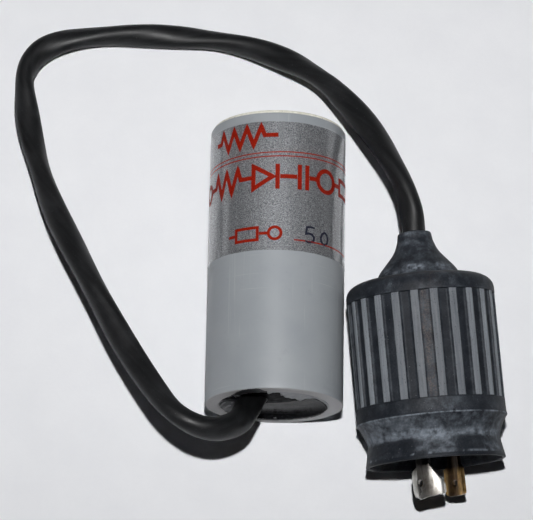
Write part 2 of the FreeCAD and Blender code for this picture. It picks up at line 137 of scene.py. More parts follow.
class Mat:
    """a small writer for procedural materials; coordinates are metres in the piece's own frame"""

    def __init__(self, name):
        self.m = bpy.data.materials.new(name)
        self.m.use_nodes = True
        self.t = self.m.node_tree
        self.t.nodes.clear()
        self.out = self.t.nodes.new("ShaderNodeOutputMaterial")
        self.b = self.t.nodes.new("ShaderNodeBsdfPrincipled")
        self.t.links.new(self.b.outputs[0], self.out.inputs[0])
        self.co = self.t.nodes.new("ShaderNodeTexCoord").outputs["Object"]

    def set(self, **kw):
        for k, v in kw.items():
            s = self.b.inputs[k.replace("_", " ")]
            if isinstance(v, bpy.types.NodeSocket):
                self.t.links.new(v, s)
            else:
                s.default_value = v
        return self

    def put(self, sock, v):
        if isinstance(v, bpy.types.NodeSocket):
            self.t.links.new(v, sock)
        elif v is not None:
            if hasattr(sock.default_value, "__len__") and not hasattr(v, "__len__"):
                v = (v, v, v, 1.0)[:len(sock.default_value)]
            elif hasattr(v, "__len__") and len(sock.default_value) == 4 and len(v) == 3:
                v = (*v, 1.0)
            sock.default_value = v

    def attr(self, name, vector=False):
        n = self.t.nodes.new("ShaderNodeAttribute")
        n.attribute_name = name
        return n.outputs["Vector" if vector else "Fac"]

    def scaled(self, v, sx, sy, sz, loc=(0, 0, 0)):
        n = self.t.nodes.new("ShaderNodeMapping")
        self.t.links.new(v, n.inputs["Vector"])
        n.inputs["Scale"].default_value = (sx, sy, sz)
        n.inputs["Location"].default_value = loc
        return n.outputs[0]

    def noise(self, scale, detail=3.0, rough=0.55, vec=None, dist=0.0):
        n = self.t.nodes.new("ShaderNodeTexNoise")
        self.t.links.new(vec if vec is not None else self.co, n.inputs["Vector"])
        n.inputs["Scale"].default_value = scale
        n.inputs["Detail"].default_value = detail
        n.inputs["Roughness"].default_value = rough
        n.inputs["Distortion"].default_value = dist
        return n.outputs["Fac"]

    def voronoi(self, scale, vec=None, feature="F1", out="Distance"):
        n = self.t.nodes.new("ShaderNodeTexVoronoi")
        n.feature = feature
        self.t.links.new(vec if vec is not None else self.co, n.inputs["Vector"])
        n.inputs["Scale"].default_value = scale
        return n.outputs[out]

    def ramp(self, fac, *stops):
        n = self.t.nodes.new("ShaderNodeValToRGB")
        self.t.links.new(fac, n.inputs[0])
        cr = n.color_ramp
        while len(cr.elements) < len(stops):
            cr.elements.new(0.5)
        for e, (p, c) in zip(cr.elements, stops):
            e.position = p
            e.color = (c, c, c, 1) if not hasattr(c, "__len__") else (*c, 1)
        return n.outputs[0]

    def span(self, v, a, b, lo=0.0, hi=1.0):
        n = self.t.nodes.new("ShaderNodeMapRange")
        self.t.links.new(v, n.inputs["Value"])
        n.inputs["From Min"].default_value = a
        n.inputs["From Max"].default_value = b
        n.inputs["To Min"].default_value = lo
        n.inputs["To Max"].default_value = hi
        return n.outputs[0]

    def op(self, kind, a, b=None, c=None, clamp=False):
        n = self.t.nodes.new("ShaderNodeMath")
        n.operation = kind
        n.use_clamp = clamp
        self.put(n.inputs[0], a)
        if b is not None:
            self.put(n.inputs[1], b)
        if c is not None:
            self.put(n.inputs[2], c)
        return n.outputs[0]

    def mix(self, fac, a, b, kind="MIX"):
        n = self.t.nodes.new("ShaderNodeMix")
        n.data_type = "RGBA"
        n.blend_type = kind
        self.put(n.inputs[0], fac)
        self.put(n.inputs[6], a)
        self.put(n.inputs[7], b)
        return n.outputs[2]

    def bump(self, height, distance, strength=1.0, normal=None):
        n = self.t.nodes.new("ShaderNodeBump")
        n.inputs["Strength"].default_value = strength
        n.inputs["Distance"].default_value = distance
        self.t.links.new(height, n.inputs["Height"])
        if normal is not None:
            self.t.links.new(normal, n.inputs["Normal"])
        return n.outputs[0]

    def xyz(self, v):
        n = self.t.nodes.new("ShaderNodeSeparateXYZ")
        self.t.links.new(v, n.inputs[0])
        return n.outputs

    def join(self, x, y, z):
        n = self.t.nodes.new("ShaderNodeCombineXYZ")
        for s, v in zip(n.inputs, (x, y, z)):
            self.put(s, v)
        return n.outputs[0]


# ------------------------------------------------------------------ camera
cam = bpy.data.cameras.new("camera")
cam.lens = 182.39
cam.sensor_width = 36.0
cam.sensor_fit = "HORIZONTAL"
cam.clip_start = 0.05
cam.clip_end = 30.0
cam_ob = bpy.data.objects.new("camera", cam)
SC.collection.objects.link(cam_ob)
RIGHT = Vector((0.99903695, 0.01720929, 0.040361))
UP = Vector((-0.02859832, 0.95302949, 0.30152434))
BACK = Vector((-0.03327621, -0.30238821, 0.95260383))
EYE = Vector((-0.035346, -0.286862, 0.936122))
cam_ob.matrix_world = Matrix(((RIGHT.x, UP.x, BACK.x, EYE.x),
                              (RIGHT.y, UP.y, BACK.y, EYE.y),
                              (RIGHT.z, UP.z, BACK.z, EYE.z),
                              (0, 0, 0, 1)))
SC.camera = cam_ob
SC.view_settings.view_transform = "Standard"
SC.view_settings.look = "None"
SC.view_settings.exposure = 0.0
SC.view_settings.gamma = 1.0

# ------------------------------------------------------------------ light and floor
key = bpy.data.lights.new("key", "SPOT")
key.shadow_soft_size = 0.011
key.spot_size = math.radians(78.0)
key.spot_blend = 1.0
key.energy = 39.7
key.color = (1.0, 0.995, 1.0)
key_ob = bpy.data.objects.new("key", key)
SC.collection.objects.link(key_ob)
key_ob.location = (-0.0304, -0.1470, 0.9765)
key_ob.rotation_mode = "QUATERNION"
key_ob.rotation_quaternion = (Vector((-0.005, 0.270, 0.0)) - key_ob.location).to_track_quat("-Z", "Y")

# soft lamps further out keep the floor pale all round; their cones end short of the object
lamps = [(x, -0.50, 0.48, 35.0, 4.2) for x in (-0.34, 0.0, 0.34)]
for reach, height, half, watts in ((0.78, 0.82, 35.0, 17.0), (1.75, 1.70, 38.0, 80.0)):
    lamps += [(reach * math.cos(math.radians(45.0 * i)), 0.01 + reach * math.sin(math.radians(45.0 * i)), height, half, watts)
              for i in range(8)]
for i, (x, y, height, half, watts) in enumerate(lamps):
    lamp = bpy.data.lights.new("floor_lamp_%d" % i, "SPOT")
    lamp.shadow_soft_size = 0.10
    lamp.spot_size = math.radians(2.0 * half)
    lamp.spot_blend = 1.0
    lamp.energy = watts
    lamp_ob = bpy.data.objects.new(lamp.name, lamp)
    SC.collection.objects.link(lamp_ob)
    lamp_ob.location = (x, y, height)

world = bpy.data.worlds.new("studio")
SC.world = world
world.use_nodes = True
wt = world.node_tree
wt.nodes.clear()
w_out = wt.nodes.new("ShaderNodeOutputWorld")
w_bg = wt.nodes.new("ShaderNodeBackground")
w_co = wt.nodes.new("ShaderNodeTexCoord")
w_sep = wt.nodes.new("ShaderNodeSeparateXYZ")
w_ramp = wt.nodes.new("ShaderNodeValToRGB")
wt.links.new(w_co.outputs["Generated"], w_sep.inputs[0])
wt.links.new(w_sep.outputs[2], w_ramp.inputs[0])
wt.links.new(w_ramp.outputs[0], w_bg.inputs[0])
wt.links.new(w_bg.outputs[0], w_out.inputs[0])
cr = w_ramp.color_ramp
cr.elements[0].position = 0.0
cr.elements[0].color = (0.060, 0.0575, 0.0585, 1)
cr.elements[1].position = 1.0
cr.elements[1].color = (0.0045, 0.0043, 0.0046, 1)
e = cr.elements.new(0.15)
e.color = (0.019, 0.018, 0.0185, 1)
e = cr.elements.new(0.45)
e.color = (0.0065, 0.0062, 0.0065, 1)
w_bg.inputs[1].default_value = 1.0

m = Mat("floor")
blotch = m.noise(55.0, 5.0, 0.6)
fine = m.noise(900.0, 3.0, 0.6)
col = m.mix(m.ramp(blotch, (0.35, 0.0), (0.65, 1.0)), (0.785, 0.797, 0.822), (0.812, 0.824, 0.846))
col = m.mix(m.span(fine, 0.3, 0.7, 0.0, 0.12), col, (0.74, 0.75, 0.78))
m.set(Base_Color=col, Roughness=0.72)
m.b.inputs["Specular IOR Level"].default_value = 0.25
m.set(Normal=m.bump(fine, 0.00005, 0.4))
FLOOR = m.m
fm = bpy.data.meshes.new("floor")
fm.from_pydata([(-5, -5, 0), (5, -5, 0), (5, 5, 0), (-5, 5, 0)], [], [(0, 1, 2, 3)])
floor = bpy.data.objects.new("floor", fm)
SC.collection.objects.link(floor)
fm.materials.append(FLOOR)

# ------------------------------------------------------------------ materials
# grey pressure pipe: satin, with fine scuffs round and along it
m = Mat("pipe_grey")
tone = m.noise(60.0, 4.0, 0.55)
c = m.mix(m.ramp(tone, (0.35, 0.0), (0.68, 1.0)), (0.275, 0.297, 0.316), (0.305, 0.326, 0.343))
along = m.noise(1.0, 3.0, 0.6, m.scaled(m.co, 900.0, 18.0, 900.0))
around = m.noise(1.0, 3.0, 0.6, m.scaled(m.co, 22.0, 1300.0, 22.0, (3, 1, 7)))
scr = m.op("MULTIPLY", m.ramp(along, (0.60, 0.0), (0.74, 1.0)), m.ramp(m.noise(90.0, 2.0, 0.5), (0.42, 0.0), (0.6, 1.0)))
scr2 = m.op("MULTIPLY", m.ramp(around, (0.62, 0.0), (0.74, 1.0)), m.ramp(m.noise(70.0, 2.0, 0.5, m.scaled(m.co, 1, 1, 1, (0.3, 0, 0))), (0.45, 0.0), (0.62, 1.0)))
scr = m.op("MAXIMUM", scr, scr2)
c = m.mix(m.op("MULTIPLY", scr, 0.40), c, (0.45, 0.47, 0.48))
dirt = m.ramp(m.noise(210.0, 5.0, 0.65), (0.60, 0.0), (0.78, 1.0))
c = m.mix(m.op("MULTIPLY", dirt, 0.30), c, (0.20, 0.215, 0.225))
m.set(Base_Color=c, Roughness=m.span(tone, 0.3, 0.7, 0.40, 0.52))
m.set(Normal=m.bump(m.op("ADD", m.op("MULTIPLY", scr, -1.0), m.noise(2200.0, 3.0, 0.6)), 0.00003, 0.55))
PIPE = m.m

# saw-cut end of the pipe: ring marks left by the cut, paler and rougher
m = Mat("pipe_cut")
p = m.xyz(m.co)
rad = m.op("SQRT", m.op("ADD", m.op("POWER", p[0], 2.0), m.op("POWER", m.op("SUBTRACT", p[2], AXIS_Z * MM), 2.0)))
lines = m.noise(1.0, 3.0, 0.7, m.join(m.op("MULTIPLY", rad, 5200.0), m.op("MULTIPLY", p[0], 40.0), m.op("MULTIPLY", p[2], 40.0)))
c = m.mix(m.ramp(lines, (0.38, 0.0), (0.66, 1.0)), (0.300, 0.296, 0.298), (0.365, 0.358, 0.360))
c = m.mix(m.op("MULTIPLY", m.ramp(m.noise(500.0, 5.0, 0.65), (0.56, 0.0), (0.74, 1.0)), 0.35), c, (0.20, 0.21, 0.22))
c = m.mix(m.span(p[2], 0.0, 0.009, 0.42, 0.0), c, (0.14, 0.142, 0.144))
c = m.mix(m.span(p[0], 0.010, 0.021, 0.0, 0.55), c, (0.46, 0.455, 0.475))
m.set(Base_Color=c, Roughness=0.55, Normal=m.bump(lines, 0.00008, 0.6))
PIPE_CUT = m.m

# closing disc
m = Mat("disc_cream")
grain = m.noise(700.0, 5.0, 0.6)
c = m.mix(m.ramp(grain, (0.35, 0.0), (0.65, 1.0)), (0.60, 0.585, 0.50), (0.74, 0.73, 0.655))
spots = m.ramp(m.noise(1500.0, 2.0, 0.5, m.scaled(m.co, 1, 1, 1, (0.2, 0.1, 0))), (0.66, 0.0), (0.72, 1.0))
c = m.mix(m.op("MULTIPLY", spots, 0.75), c, (0.10, 0.10, 0.085))
m.set(Base_Color=c, Roughness=0.62, Normal=m.bump(grain, 0.00006, 0.5))
DISC = m.m

# metallised label stock: fine sparkle under a clear face, drawn lines along the pipe
m = Mat("foil")
spark = m.noise(2600.0, 2.0, 0.75)
drawn = m.noise(1.0, 3.0, 0.6, m.scaled(m.co, 700.0, 35.0, 700.0))
wave = m.noise(28.0, 2.0, 0.5)
c = m.mix(m.ramp(spark, (0.36, 0.0), (0.70, 1.0)), (0.075, 0.080, 0.088), (0.47, 0.483, 0.500))
c = m.mix(m.span(drawn, 0.38, 0.62, 0.0, 0.30), c, (0.140, 0.148, 0.160))
m.set(Base_Color=c, Metallic=0.58, Roughness=m.span(spark, 0.3, 0.7, 0.50, 0.64))
h = m.op("ADD", m.op("MULTIPLY", spark, 0.75), m.op("MULTIPLY", drawn, 0.25))
n1 = m.bump(h, 0.00010, 1.0)
m.set(Normal=m.bump(wave, 0.00025, 0.12, n1))
m.b.inputs["Coat Weight"].default_value = 1.0
m.b.inputs["Coat IOR"].default_value = 1.85
m.b.inputs["Coat Roughness"].default_value = 0.14
FOIL = m.m

# print on the label
m = Mat("print_red")
g = m.noise(2600.0, 3.0, 0.6)
c = m.mix(m.ramp(g, (0.34, 0.0), (0.66, 1.0)), (0.150, 0.0058, 0.0022), (0.32, 0.0155, 0.0046))
m.set(Base_Color=c, Roughness=0.50, Normal=m.bump(g, 0.00002, 0.5))
m.b.inputs["Specular IOR Level"].default_value = 0.06
PRINT = m.m

m = Mat("print_thin")
g = m.noise(1600.0, 3.0, 0.6)
c = m.mix(m.ramp(g, (0.34, 0.0), (0.66, 1.0)), (0.20, 0.014, 0.009), (0.36, 0.036, 0.018))
m.set(Base_Color=c, Roughness=0.50)
m.b.inputs["Specular IOR Level"].default_value = 0.15
PRINT_THIN = m.m

m = Mat("ink_navy")
g = m.noise(1500.0, 4.0, 0.6)
c = m.mix(m.ramp(g, (0.3, 0.0), (0.7, 1.0)), (0.008, 0.009, 0.020), (0.020, 0.022, 0.042))
m.set(Base_Color=c, Roughness=0.45)
m.b.inputs["Specular IOR Level"].default_value = 0.2
INK = m.m

# poured filling: black and glossy where it lies in a pool, matte where it was smeared, grey where the sealer covers it;
# the matte black also paints a shadow below the sealer's edge, and grey sealer on the far left also paints a reflection
# of the floor
m = Mat("filling")
pale = m.attr("pale")
matte_and_painted_shade = m.attr("matte_and_painted_shade")
d1 = m.noise(420.0, 5.0, 0.62)
d2 = m.noise(1500.0, 4.0, 0.6)
c = m.mix(m.ramp(d1, (0.45, 0.0), (0.78, 1.0)), (0.0045, 0.0045, 0.0052), (0.016, 0.0165, 0.018))
c = m.mix(m.op("MULTIPLY", matte_and_painted_shade, m.ramp(d2, (0.56, 0.0), (0.66, 1.0))), c, (0.017, 0.0175, 0.019))
sealer = m.mix(m.ramp(d1, (0.35, 0.0), (0.68, 1.0)), (0.250, 0.256, 0.268), (0.345, 0.350, 0.362))
c = m.mix(pale, c, sealer)
rough = m.op("MAXIMUM", m.span(d1, 0.3, 0.75, 0.13, 0.26), m.op("MULTIPLY", m.op("MAXIMUM", pale, matte_and_painted_shade), 0.75))
m.set(Base_Color=c, Roughness=rough)
wet = m.op("MULTIPLY", 0.025, m.op("SUBTRACT", 1.0, m.op("MAXIMUM", pale, matte_and_painted_shade), clamp=True))
m.set(Specular_IOR_Level=m.op("ADD", wet, m.op("MULTIPLY", pale, 0.45)))
m.b.inputs["Specular Tint"].default_value = (0.90, 0.97, 1.0, 1.0)
m.set(Normal=m.bump(m.op("ADD", m.op("MULTIPLY", m.noise(230.0, 2.0, 0.5), 0.25), m.op("MULTIPLY", m.op("MAXIMUM", matte_and_painted_shade, pale), d2)), 0.0003, 0.30))
FILL = m.m

# crumbs of dried resin on the rim
m = Mat("resin_crumb")
g = m.noise(2100.0, 4.0, 0.6)
c = m.mix(m.ramp(g, (0.35, 0.0), (0.65, 1.0)), (0.007, 0.0073, 0.0080), (0.032, 0.033, 0.036))
m.set(Base_Color=c, Roughness=m.span(g, 0.3, 0.7, 0.40, 0.75), Normal=m.bump(g, 0.0001, 0.6))
m.b.inputs["Specular IOR Level"].default_value = 0.15
CRUMB = m.m

# cord jacket
m = Mat("cord_rubber")
v = m.attr("run", True)
streak = m.noise(1.0, 4.0, 0.6, m.scaled(v, 900.0, 900.0, 45.0))
cloud = m.noise(110.0, 4.0, 0.6, v)
dust = m.noise(2400.0, 3.0, 0.6)
c = m.mix(m.ramp(streak, (0.36, 0.0), (0.70, 1.0)), (0.0048, 0.0051, 0.0057), (0.0128, 0.0136, 0.0148))
c = m.mix(m.op("MULTIPLY", m.ramp(cloud, (0.5, 0.0), (0.75, 1.0)), 0.35), c, (0.036, 0.038, 0.041))
c = m.mix(m.op("MULTIPLY", m.ramp(dust, (0.67, 0.0), (0.74, 1.0)), 0.5), c, (0.17, 0.175, 0.18))
stem = m.span(m.xyz(v)[2], 0.006, 0.022, 1.0, 0.0)
c = m.mix(m.op("MULTIPLY", stem, 0.85), c, (0.0035, 0.0035, 0.0038))
m.set(Base_Color=c, Roughness=m.span(cloud, 0.3, 0.7, 0.40, 0.55))
m.set(Specular_IOR_Level=m.span(stem, 0.0, 1.0, 0.33, 0.10))
m.set(Normal=m.bump(m.op("ADD", m.op("MULTIPLY", streak, 0.7), m.op("MULTIPLY", dust, 0.3)), 0.00005, 0.45))
CORD = m.m

# boot rubber: near black where it is clean, blue-grey bloom and chalk where it is worn
m = Mat("boot_rubber")
chalk = m.attr("chalk")
rib = m.attr("rib")
brown = m.attr("brown")
v = m.co = m.attr("loc", True)
blot = m.noise(170.0, 6.0, 0.66)
grain = m.noise(1700.0, 4.0, 0.62)
speck = m.noise(2300.0, 2.0, 0.5, m.scaled(v, 1, 1, 1, (0.4, 0.1, 0.2)))
lng = m.noise(1.0, 4.0, 0.62, m.scaled(v, 1400.0, 1400.0, 70.0))
rubbed = m.op("MULTIPLY", chalk, m.span(blot, 0.36, 0.64, 0.12, 1.75))
rubbed = m.op("MULTIPLY", rubbed, m.span(grain, 0.30, 0.70, 0.75, 1.25), clamp=True)
dark = m.mix(m.ramp(grain, (0.32, 0.0), (0.72, 1.0)), (0.0050, 0.0066, 0.0096), (0.0122, 0.0152, 0.0210))
c = m.mix(rubbed, dark, (0.190, 0.217, 0.252))
ribtone = m.mix(m.ramp(lng, (0.30, 0.0), (0.72, 1.0)), (0.084, 0.093, 0.106), (0.152, 0.164, 0.180))
# painted sheen: a lighter copy of the rib tone for ribs turned away from the top
rib_sheen_tone = m.mix(m.ramp(lng, (0.30, 0.0), (0.72, 1.0)), (0.168, 0.187, 0.210), (0.298, 0.324, 0.352))
ribtone = m.mix(m.attr("painted_rib_sheen"), ribtone, rib_sheen_tone)
ribtone = m.mix(m.op("MULTIPLY", m.ramp(blot, (0.50, 0.0), (0.78, 1.0)), 0.4), ribtone, (0.195, 0.205, 0.22))
ribtone = m.mix(m.op("MULTIPLY", m.ramp(speck, (0.64, 0.0), (0.70, 1.0)), 0.7), ribtone, (0.03, 0.032, 0.036))
edge = m.op("ADD", rib, m.span(grain, 0.25, 0.75, -0.22, 0.22))
c = m.mix(m.ramp(edge, (0.40, 0.0), (0.62, 1.0)), c, ribtone)
c = m.mix(m.op("MULTIPLY", brown, m.span(speck, 0.42, 0.60, 0.0, 1.2), clamp=True), c, (0.125, 0.092, 0.078))
lint = m.op("MULTIPLY", m.ramp(m.noise(3000.0, 2.0, 0.5, m.scaled(v, 1, 1, 1, (0.7, 0.6, 0.2))), (0.735, 0.0), (0.76, 1.0)), m.op("SUBTRACT", 1.0, rib, clamp=True))
c = m.mix(m.op("MULTIPLY", lint, 0.6), c, (0.40, 0.41, 0.42))
m.set(Base_Color=c, Roughness=m.span(rubbed, 0.0, 1.0, 0.56, 0.82))
m.b.inputs["Specular IOR Level"].default_value = 0.22
hh = m.op("ADD", m.op("MULTIPLY", grain, 0.6), m.op("MULTIPLY", blot, 0.7))
m.set(Normal=m.bump(hh, 0.00014, 0.42))
BOOT = m.m

# moulded insulator
m = Mat("insulator")
g = m.noise(1300.0, 4.0, 0.6)
c = m.mix(m.ramp(g, (0.35, 0.0), (0.7, 1.0)), (0.012, 0.012, 0.013), (0.032, 0.032, 0.034))
m.set(Base_Color=c, Roughness=m.span(g, 0.3, 0.7, 0.38, 0.55), Normal=m.bump(g, 0.00006, 0.5))
INSUL = m.m

# nickel plating, handled: soft stains and drawn lines along the blade
m = Mat("nickel")
m.co = m.attr("loc", True)
st = m.noise(260.0, 5.0, 0.62)
ln = m.noise(1.0, 3.0, 0.6, m.scaled(m.co, 2600.0, 2600.0, 160.0))
c = m.mix(m.ramp(st, (0.40, 0.0), (0.72, 1.0)), (0.70, 0.69, 0.66), (0.40, 0.385, 0.35))
p = m.xyz(m.co)
dx, dy, dz = m.op("SUBTRACT", p[0], -0.0063), m.op("SUBTRACT", p[1], 0.0083), m.op("SUBTRACT", p[2], 0.0219)
far = m.op("SQRT", m.op("ADD", m.op("ADD", m.op("MULTIPLY", dx, dx), m.op("MULTIPLY", dy, dy)), m.op("MULTIPLY", dz, dz)))
worn = m.op("MULTIPLY", m.span(far, 0.0012, 0.0048, 1.0, 0.0), m.span(st, 0.32, 0.60, 0.35, 1.0), clamp=True)
c = m.mix(m.op("MULTIPLY", worn, 0.92), c, (0.085, 0.072, 0.056))
pit = m.ramp(m.noise(1900.0, 3.0, 0.6), (0.66, 0.0), (0.73, 1.0))
c = m.mix(m.op("MULTIPLY", pit, 0.55), c, (0.10, 0.09, 0.08))
# worn matte by handling over its middle, and darkened there as painted shade; only the side that faces up stays bright,
# narrowing towards the root
rise = m.span(p[2], 0.0155, 0.0195, -0.0036, -0.0009)
lean = m.op("SUBTRACT", p[0], rise)
mid = m.op("MULTIPLY", m.span(lean, -0.0008, 0.0008, 1.0, 0.0), m.span(p[0], -0.0082, -0.0064, 0.0, 1.0))
mid = m.op("MULTIPLY", mid, m.span(ln, 0.30, 0.70, 0.66, 1.0), clamp=True)
mid = m.op("MULTIPLY", mid, m.span(st, 0.34, 0.62, 0.80, 1.12), clamp=True)
c = m.mix(m.op("MULTIPLY", mid, 0.88), c, m.mix(m.ramp(pit, (0.0, 0.0), (1.0, 1.0)), (0.112, 0.100, 0.087), (0.20, 0.18, 0.16)))
# painted shade: darker towards the root of the blade, deep inside the skirt
root = m.span(m.op("ADD", p[2], m.span(st, 0.3, 0.7, -0.0012, 0.0012)), 0.0155, 0.0198, 1.0, 0.0)
c = m.mix(m.op("MULTIPLY", root, 0.93), c, (0.030, 0.025, 0.022))
m.set(Base_Color=c, Metallic=0.92, Roughness=m.op("MAXIMUM", m.span(st, 0.3, 0.7, 0.24, 0.36), m.op("MULTIPLY", mid, 0.56)))
m.set(Normal=m.bump(m.op("ADD", m.op("MULTIPLY", ln, 0.5), m.op("MULTIPLY", st, 0.5)), 0.00005, 0.4))
NICKEL = m.m

# plain brass, brown with tarnish, with a painted highlight along one edge
m = Mat("brass")
m.co = m.attr("loc", True)
st = m.noise(330.0, 5.0, 0.64)
ln = m.noise(1.0, 4.0, 0.62, m.scaled(m.co, 1500.0, 1500.0, 110.0))
c = m.mix(m.ramp(st, (0.40, 0.0), (0.66, 1.0)), (0.50, 0.31, 0.105), (0.16, 0.095, 0.040))
p = m.xyz(m.co)
wide = m.op("ADD", m.op("MULTIPLY", p[0], 0.649), m.op("MULTIPLY", p[1], 0.760))
across = m.op("ABSOLUTE", m.op("ADD", wide, 0.0004))
# painted highlight: a bright, less metallic band along one edge of the blade
painted_gold_highlight = m.op("MULTIPLY", m.span(wide, -0.0027, -0.0018, 1.0, 0.0), m.span(st, 0.34, 0.60, 1.0, 0.55), clamp=True)
c = m.mix(painted_gold_highlight, c, (0.56, 0.375, 0.150))
mid = m.op("MULTIPLY", m.span(across, 0.0020, 0.0032, 1.0, 0.0), m.span(ln, 0.30, 0.60, 0.70, 1.0), clamp=True)
c = m.mix(m.op("MULTIPLY", mid, 0.93), c, (0.046, 0.027, 0.017))
c = m.mix(m.op("MULTIPLY", m.ramp(ln, (0.48, 0.0), (0.66, 1.0)), 0.5), c, (0.12, 0.080, 0.048))
# painted shadow: darker towards the root of the blade, in the skirt's shadow
root = m.span(p[2], 0.0160, 0.0185, 1.0, 0.0)
c = m.mix(m.op("MULTIPLY", root, 0.95), c, (0.016, 0.011, 0.008))
m.set(Base_Color=c, Metallic=m.span(painted_gold_highlight, 0.0, 1.0, 0.92, 0.45), Roughness=m.span(ln, 0.3, 0.7, 0.26, 0.48))
m.set(Normal=m.bump(m.op("ADD", m.op("MULTIPLY", ln, 0.5), m.op("MULTIPLY", st, 0.5)), 0.00006, 0.5))
BRASS = m.m

m = Mat("screw_steel")
g = m.noise(900.0, 4.0, 0.6)
c = m.mix(m.ramp(g, (0.35, 0.0), (0.7, 1.0)), (0.38, 0.38, 0.37), (0.58, 0.58, 0.57))
m.set(Base_Color=c, Metallic=1.0, Roughness=m.span(g, 0.3, 0.7, 0.28, 0.45), Normal=m.bump(g, 0.00004, 0.4))
STEEL = m.m

m = Mat("ceramic")
g = m.noise(600.0, 4.0, 0.6)
c = m.mix(m.ramp(g, (0.35, 0.0), (0.7, 1.0)), (0.74, 0.72, 0.66), (0.84, 0.83, 0.79))
m.set(Base_Color=c, Roughness=0.5, Normal=m.bump(g, 0.00005, 0.4))
CERAMIC = m.m

m = Mat("enamel")
wv = m.noise(1.0, 3.0, 0.6, m.scaled(m.co, 60.0, 1400.0, 60.0))
c = m.mix(m.ramp(wv, (0.35, 0.0), (0.65, 1.0)), (0.045, 0.115, 0.075), (0.085, 0.17, 0.115))
m.set(Base_Color=c, Roughness=0.22, Normal=m.bump(wv, 0.0002, 0.6))
ENAMEL = m.m

m = Mat("tinned")
g = m.noise(1200.0, 4.0, 0.6)
c = m.mix(m.ramp(g, (0.35, 0.0), (0.7, 1.0)), (0.52, 0.52, 0.50), (0.70, 0.70, 0.68))
m.set(Base_Color=c, Metallic=1.0, Roughness=m.span(g, 0.3, 0.7, 0.30, 0.50), Normal=m.bump(g, 0.00004, 0.4))
TINNED = m.m

m = Mat("wire_light")
g = m.noise(1000.0, 4.0, 0.6)
c = m.mix(m.ramp(g, (0.35, 0.0), (0.7, 1.0)), (0.66, 0.66, 0.63), (0.78, 0.78, 0.75))
m.set(Base_Color=c, Roughness=0.45, Normal=m.bump(g, 0.00003, 0.4))
WIRE_L = m.m

m = Mat("wire_dark")
g = m.noise(1000.0, 4.0, 0.6)
c = m.mix(m.ramp(g, (0.35, 0.0), (0.7, 1.0)), (0.015, 0.015, 0.016), (0.04, 0.04, 0.042))
m.set(Base_Color=c, Roughness=0.45, Normal=m.bump(g, 0.00003, 0.4))
WIRE_D = m.m

m = Mat("cord_inner")
g = m.noise(1100.0, 4.0, 0.6)
c = m.mix(m.ramp(g, (0.35, 0.0), (0.7, 1.0)), (0.013, 0.013, 0.014), (0.032, 0.033, 0.035))
m.set(Base_Color=c, Roughness=m.span(g, 0.3, 0.7, 0.38, 0.52), Normal=m.bump(g, 0.00004, 0.4))
CORD_IN = m.m

for name, mat in {
        "end_disc": DISC, "resistor_core": CERAMIC, "resistor_winding": ENAMEL, "resistor_band_near": TINNED,
        "resistor_band_far": TINNED, "crimp_splices": TINNED, "conductor_light": WIRE_L, "conductor_dark": WIRE_D,
        "lead_near": TINNED, "lead_far": TINNED, "cord_end_in_housing": CORD_IN, "plug_face": INSUL,
        "plug_rear_body": INSUL, "terminal_screws": STEEL, "terminal_plates": STEEL, "body_screws": STEEL,
        "cord_clamp_upper": INSUL, "cord_clamp_lower": INSUL, "cord_clamp_screws": STEEL,
        "cord_end_in_plug": CORD_IN, "plug_wire_light": WIRE_L, "plug_wire_dark": WIRE_D}.items():
    data = NODES[name].data
    data.materials.clear()
    data.materials.append(mat)

# ------------------------------------------------------------------ cord: one smooth line from the filling to the collar
CORD_POINTS = [
    (-6.41, -48.20, 27.35), (-9.43, -53.29, 31.13), (-12.87, -62.07, 40.97), (-23.84, -65.75, 46.58),
    (-35.31, -60.08, 47.89), (-44.63, -45.69, 38.71), (-55.67, -27.19, 32.49), (-69.04, -1.18, 27.13),
    (-81.48, 25.26, 14.05), (-88.54, 47.36, 9.91), (-92.42, 64.68, 8.11), (-93.45, 80.21, 7.03),
    (-82.60, 91.63, 5.77), (-53.66, 95.32, 4.20), (-17.62, 94.07, 4.20), (11.09, 80.33, 14.34),
    (27.29, 61.24, 23.52), (38.31, 41.57, 32.86), (46.702, 23.012, 36.418), (48.017, 10.743, 34.793)]
cu = bpy.data.curves.new("cord_line", "CURVE")
cu.dimensions = "3D"
sp = cu.splines.new("NURBS")
sp.points.add(len(CORD_POINTS) - 1)
for q, co in zip(sp.points, CORD_POINTS):
    q.co = (co[0] * MM, co[1] * MM, co[2] * MM, 1.0)
sp.order_u = 3
sp.use_endpoint_u = True
sp.resolution_u = 32
cu.resolution_u = 32
line = bpy.data.objects.new("cord_line", cu)
SC.collection.objects.link(line)
bpy.context.view_layer.update()
line_mesh = bpy.data.meshes.new_from_object(line)
path = np.array([v.co for v in line_mesh.vertices], float)
bpy.data.objects.remove(line)
bpy.data.meshes.remove(line_mesh)
keep = [0] + [i for i in range(1, len(path)) if np.linalg.norm(path[i] - path[i - 1]) > 1e-6]
path = path[keep]
seg = np.linalg.norm(np.diff(path, axis=0), axis=1)
arc = np.concatenate([[0], np.cumsum(seg)])
CORD_LEN = float(arc[-1])
tan = np.gradient(path, arc, axis=0)
tan /= np.linalg.norm(tan, axis=1)[:, None]
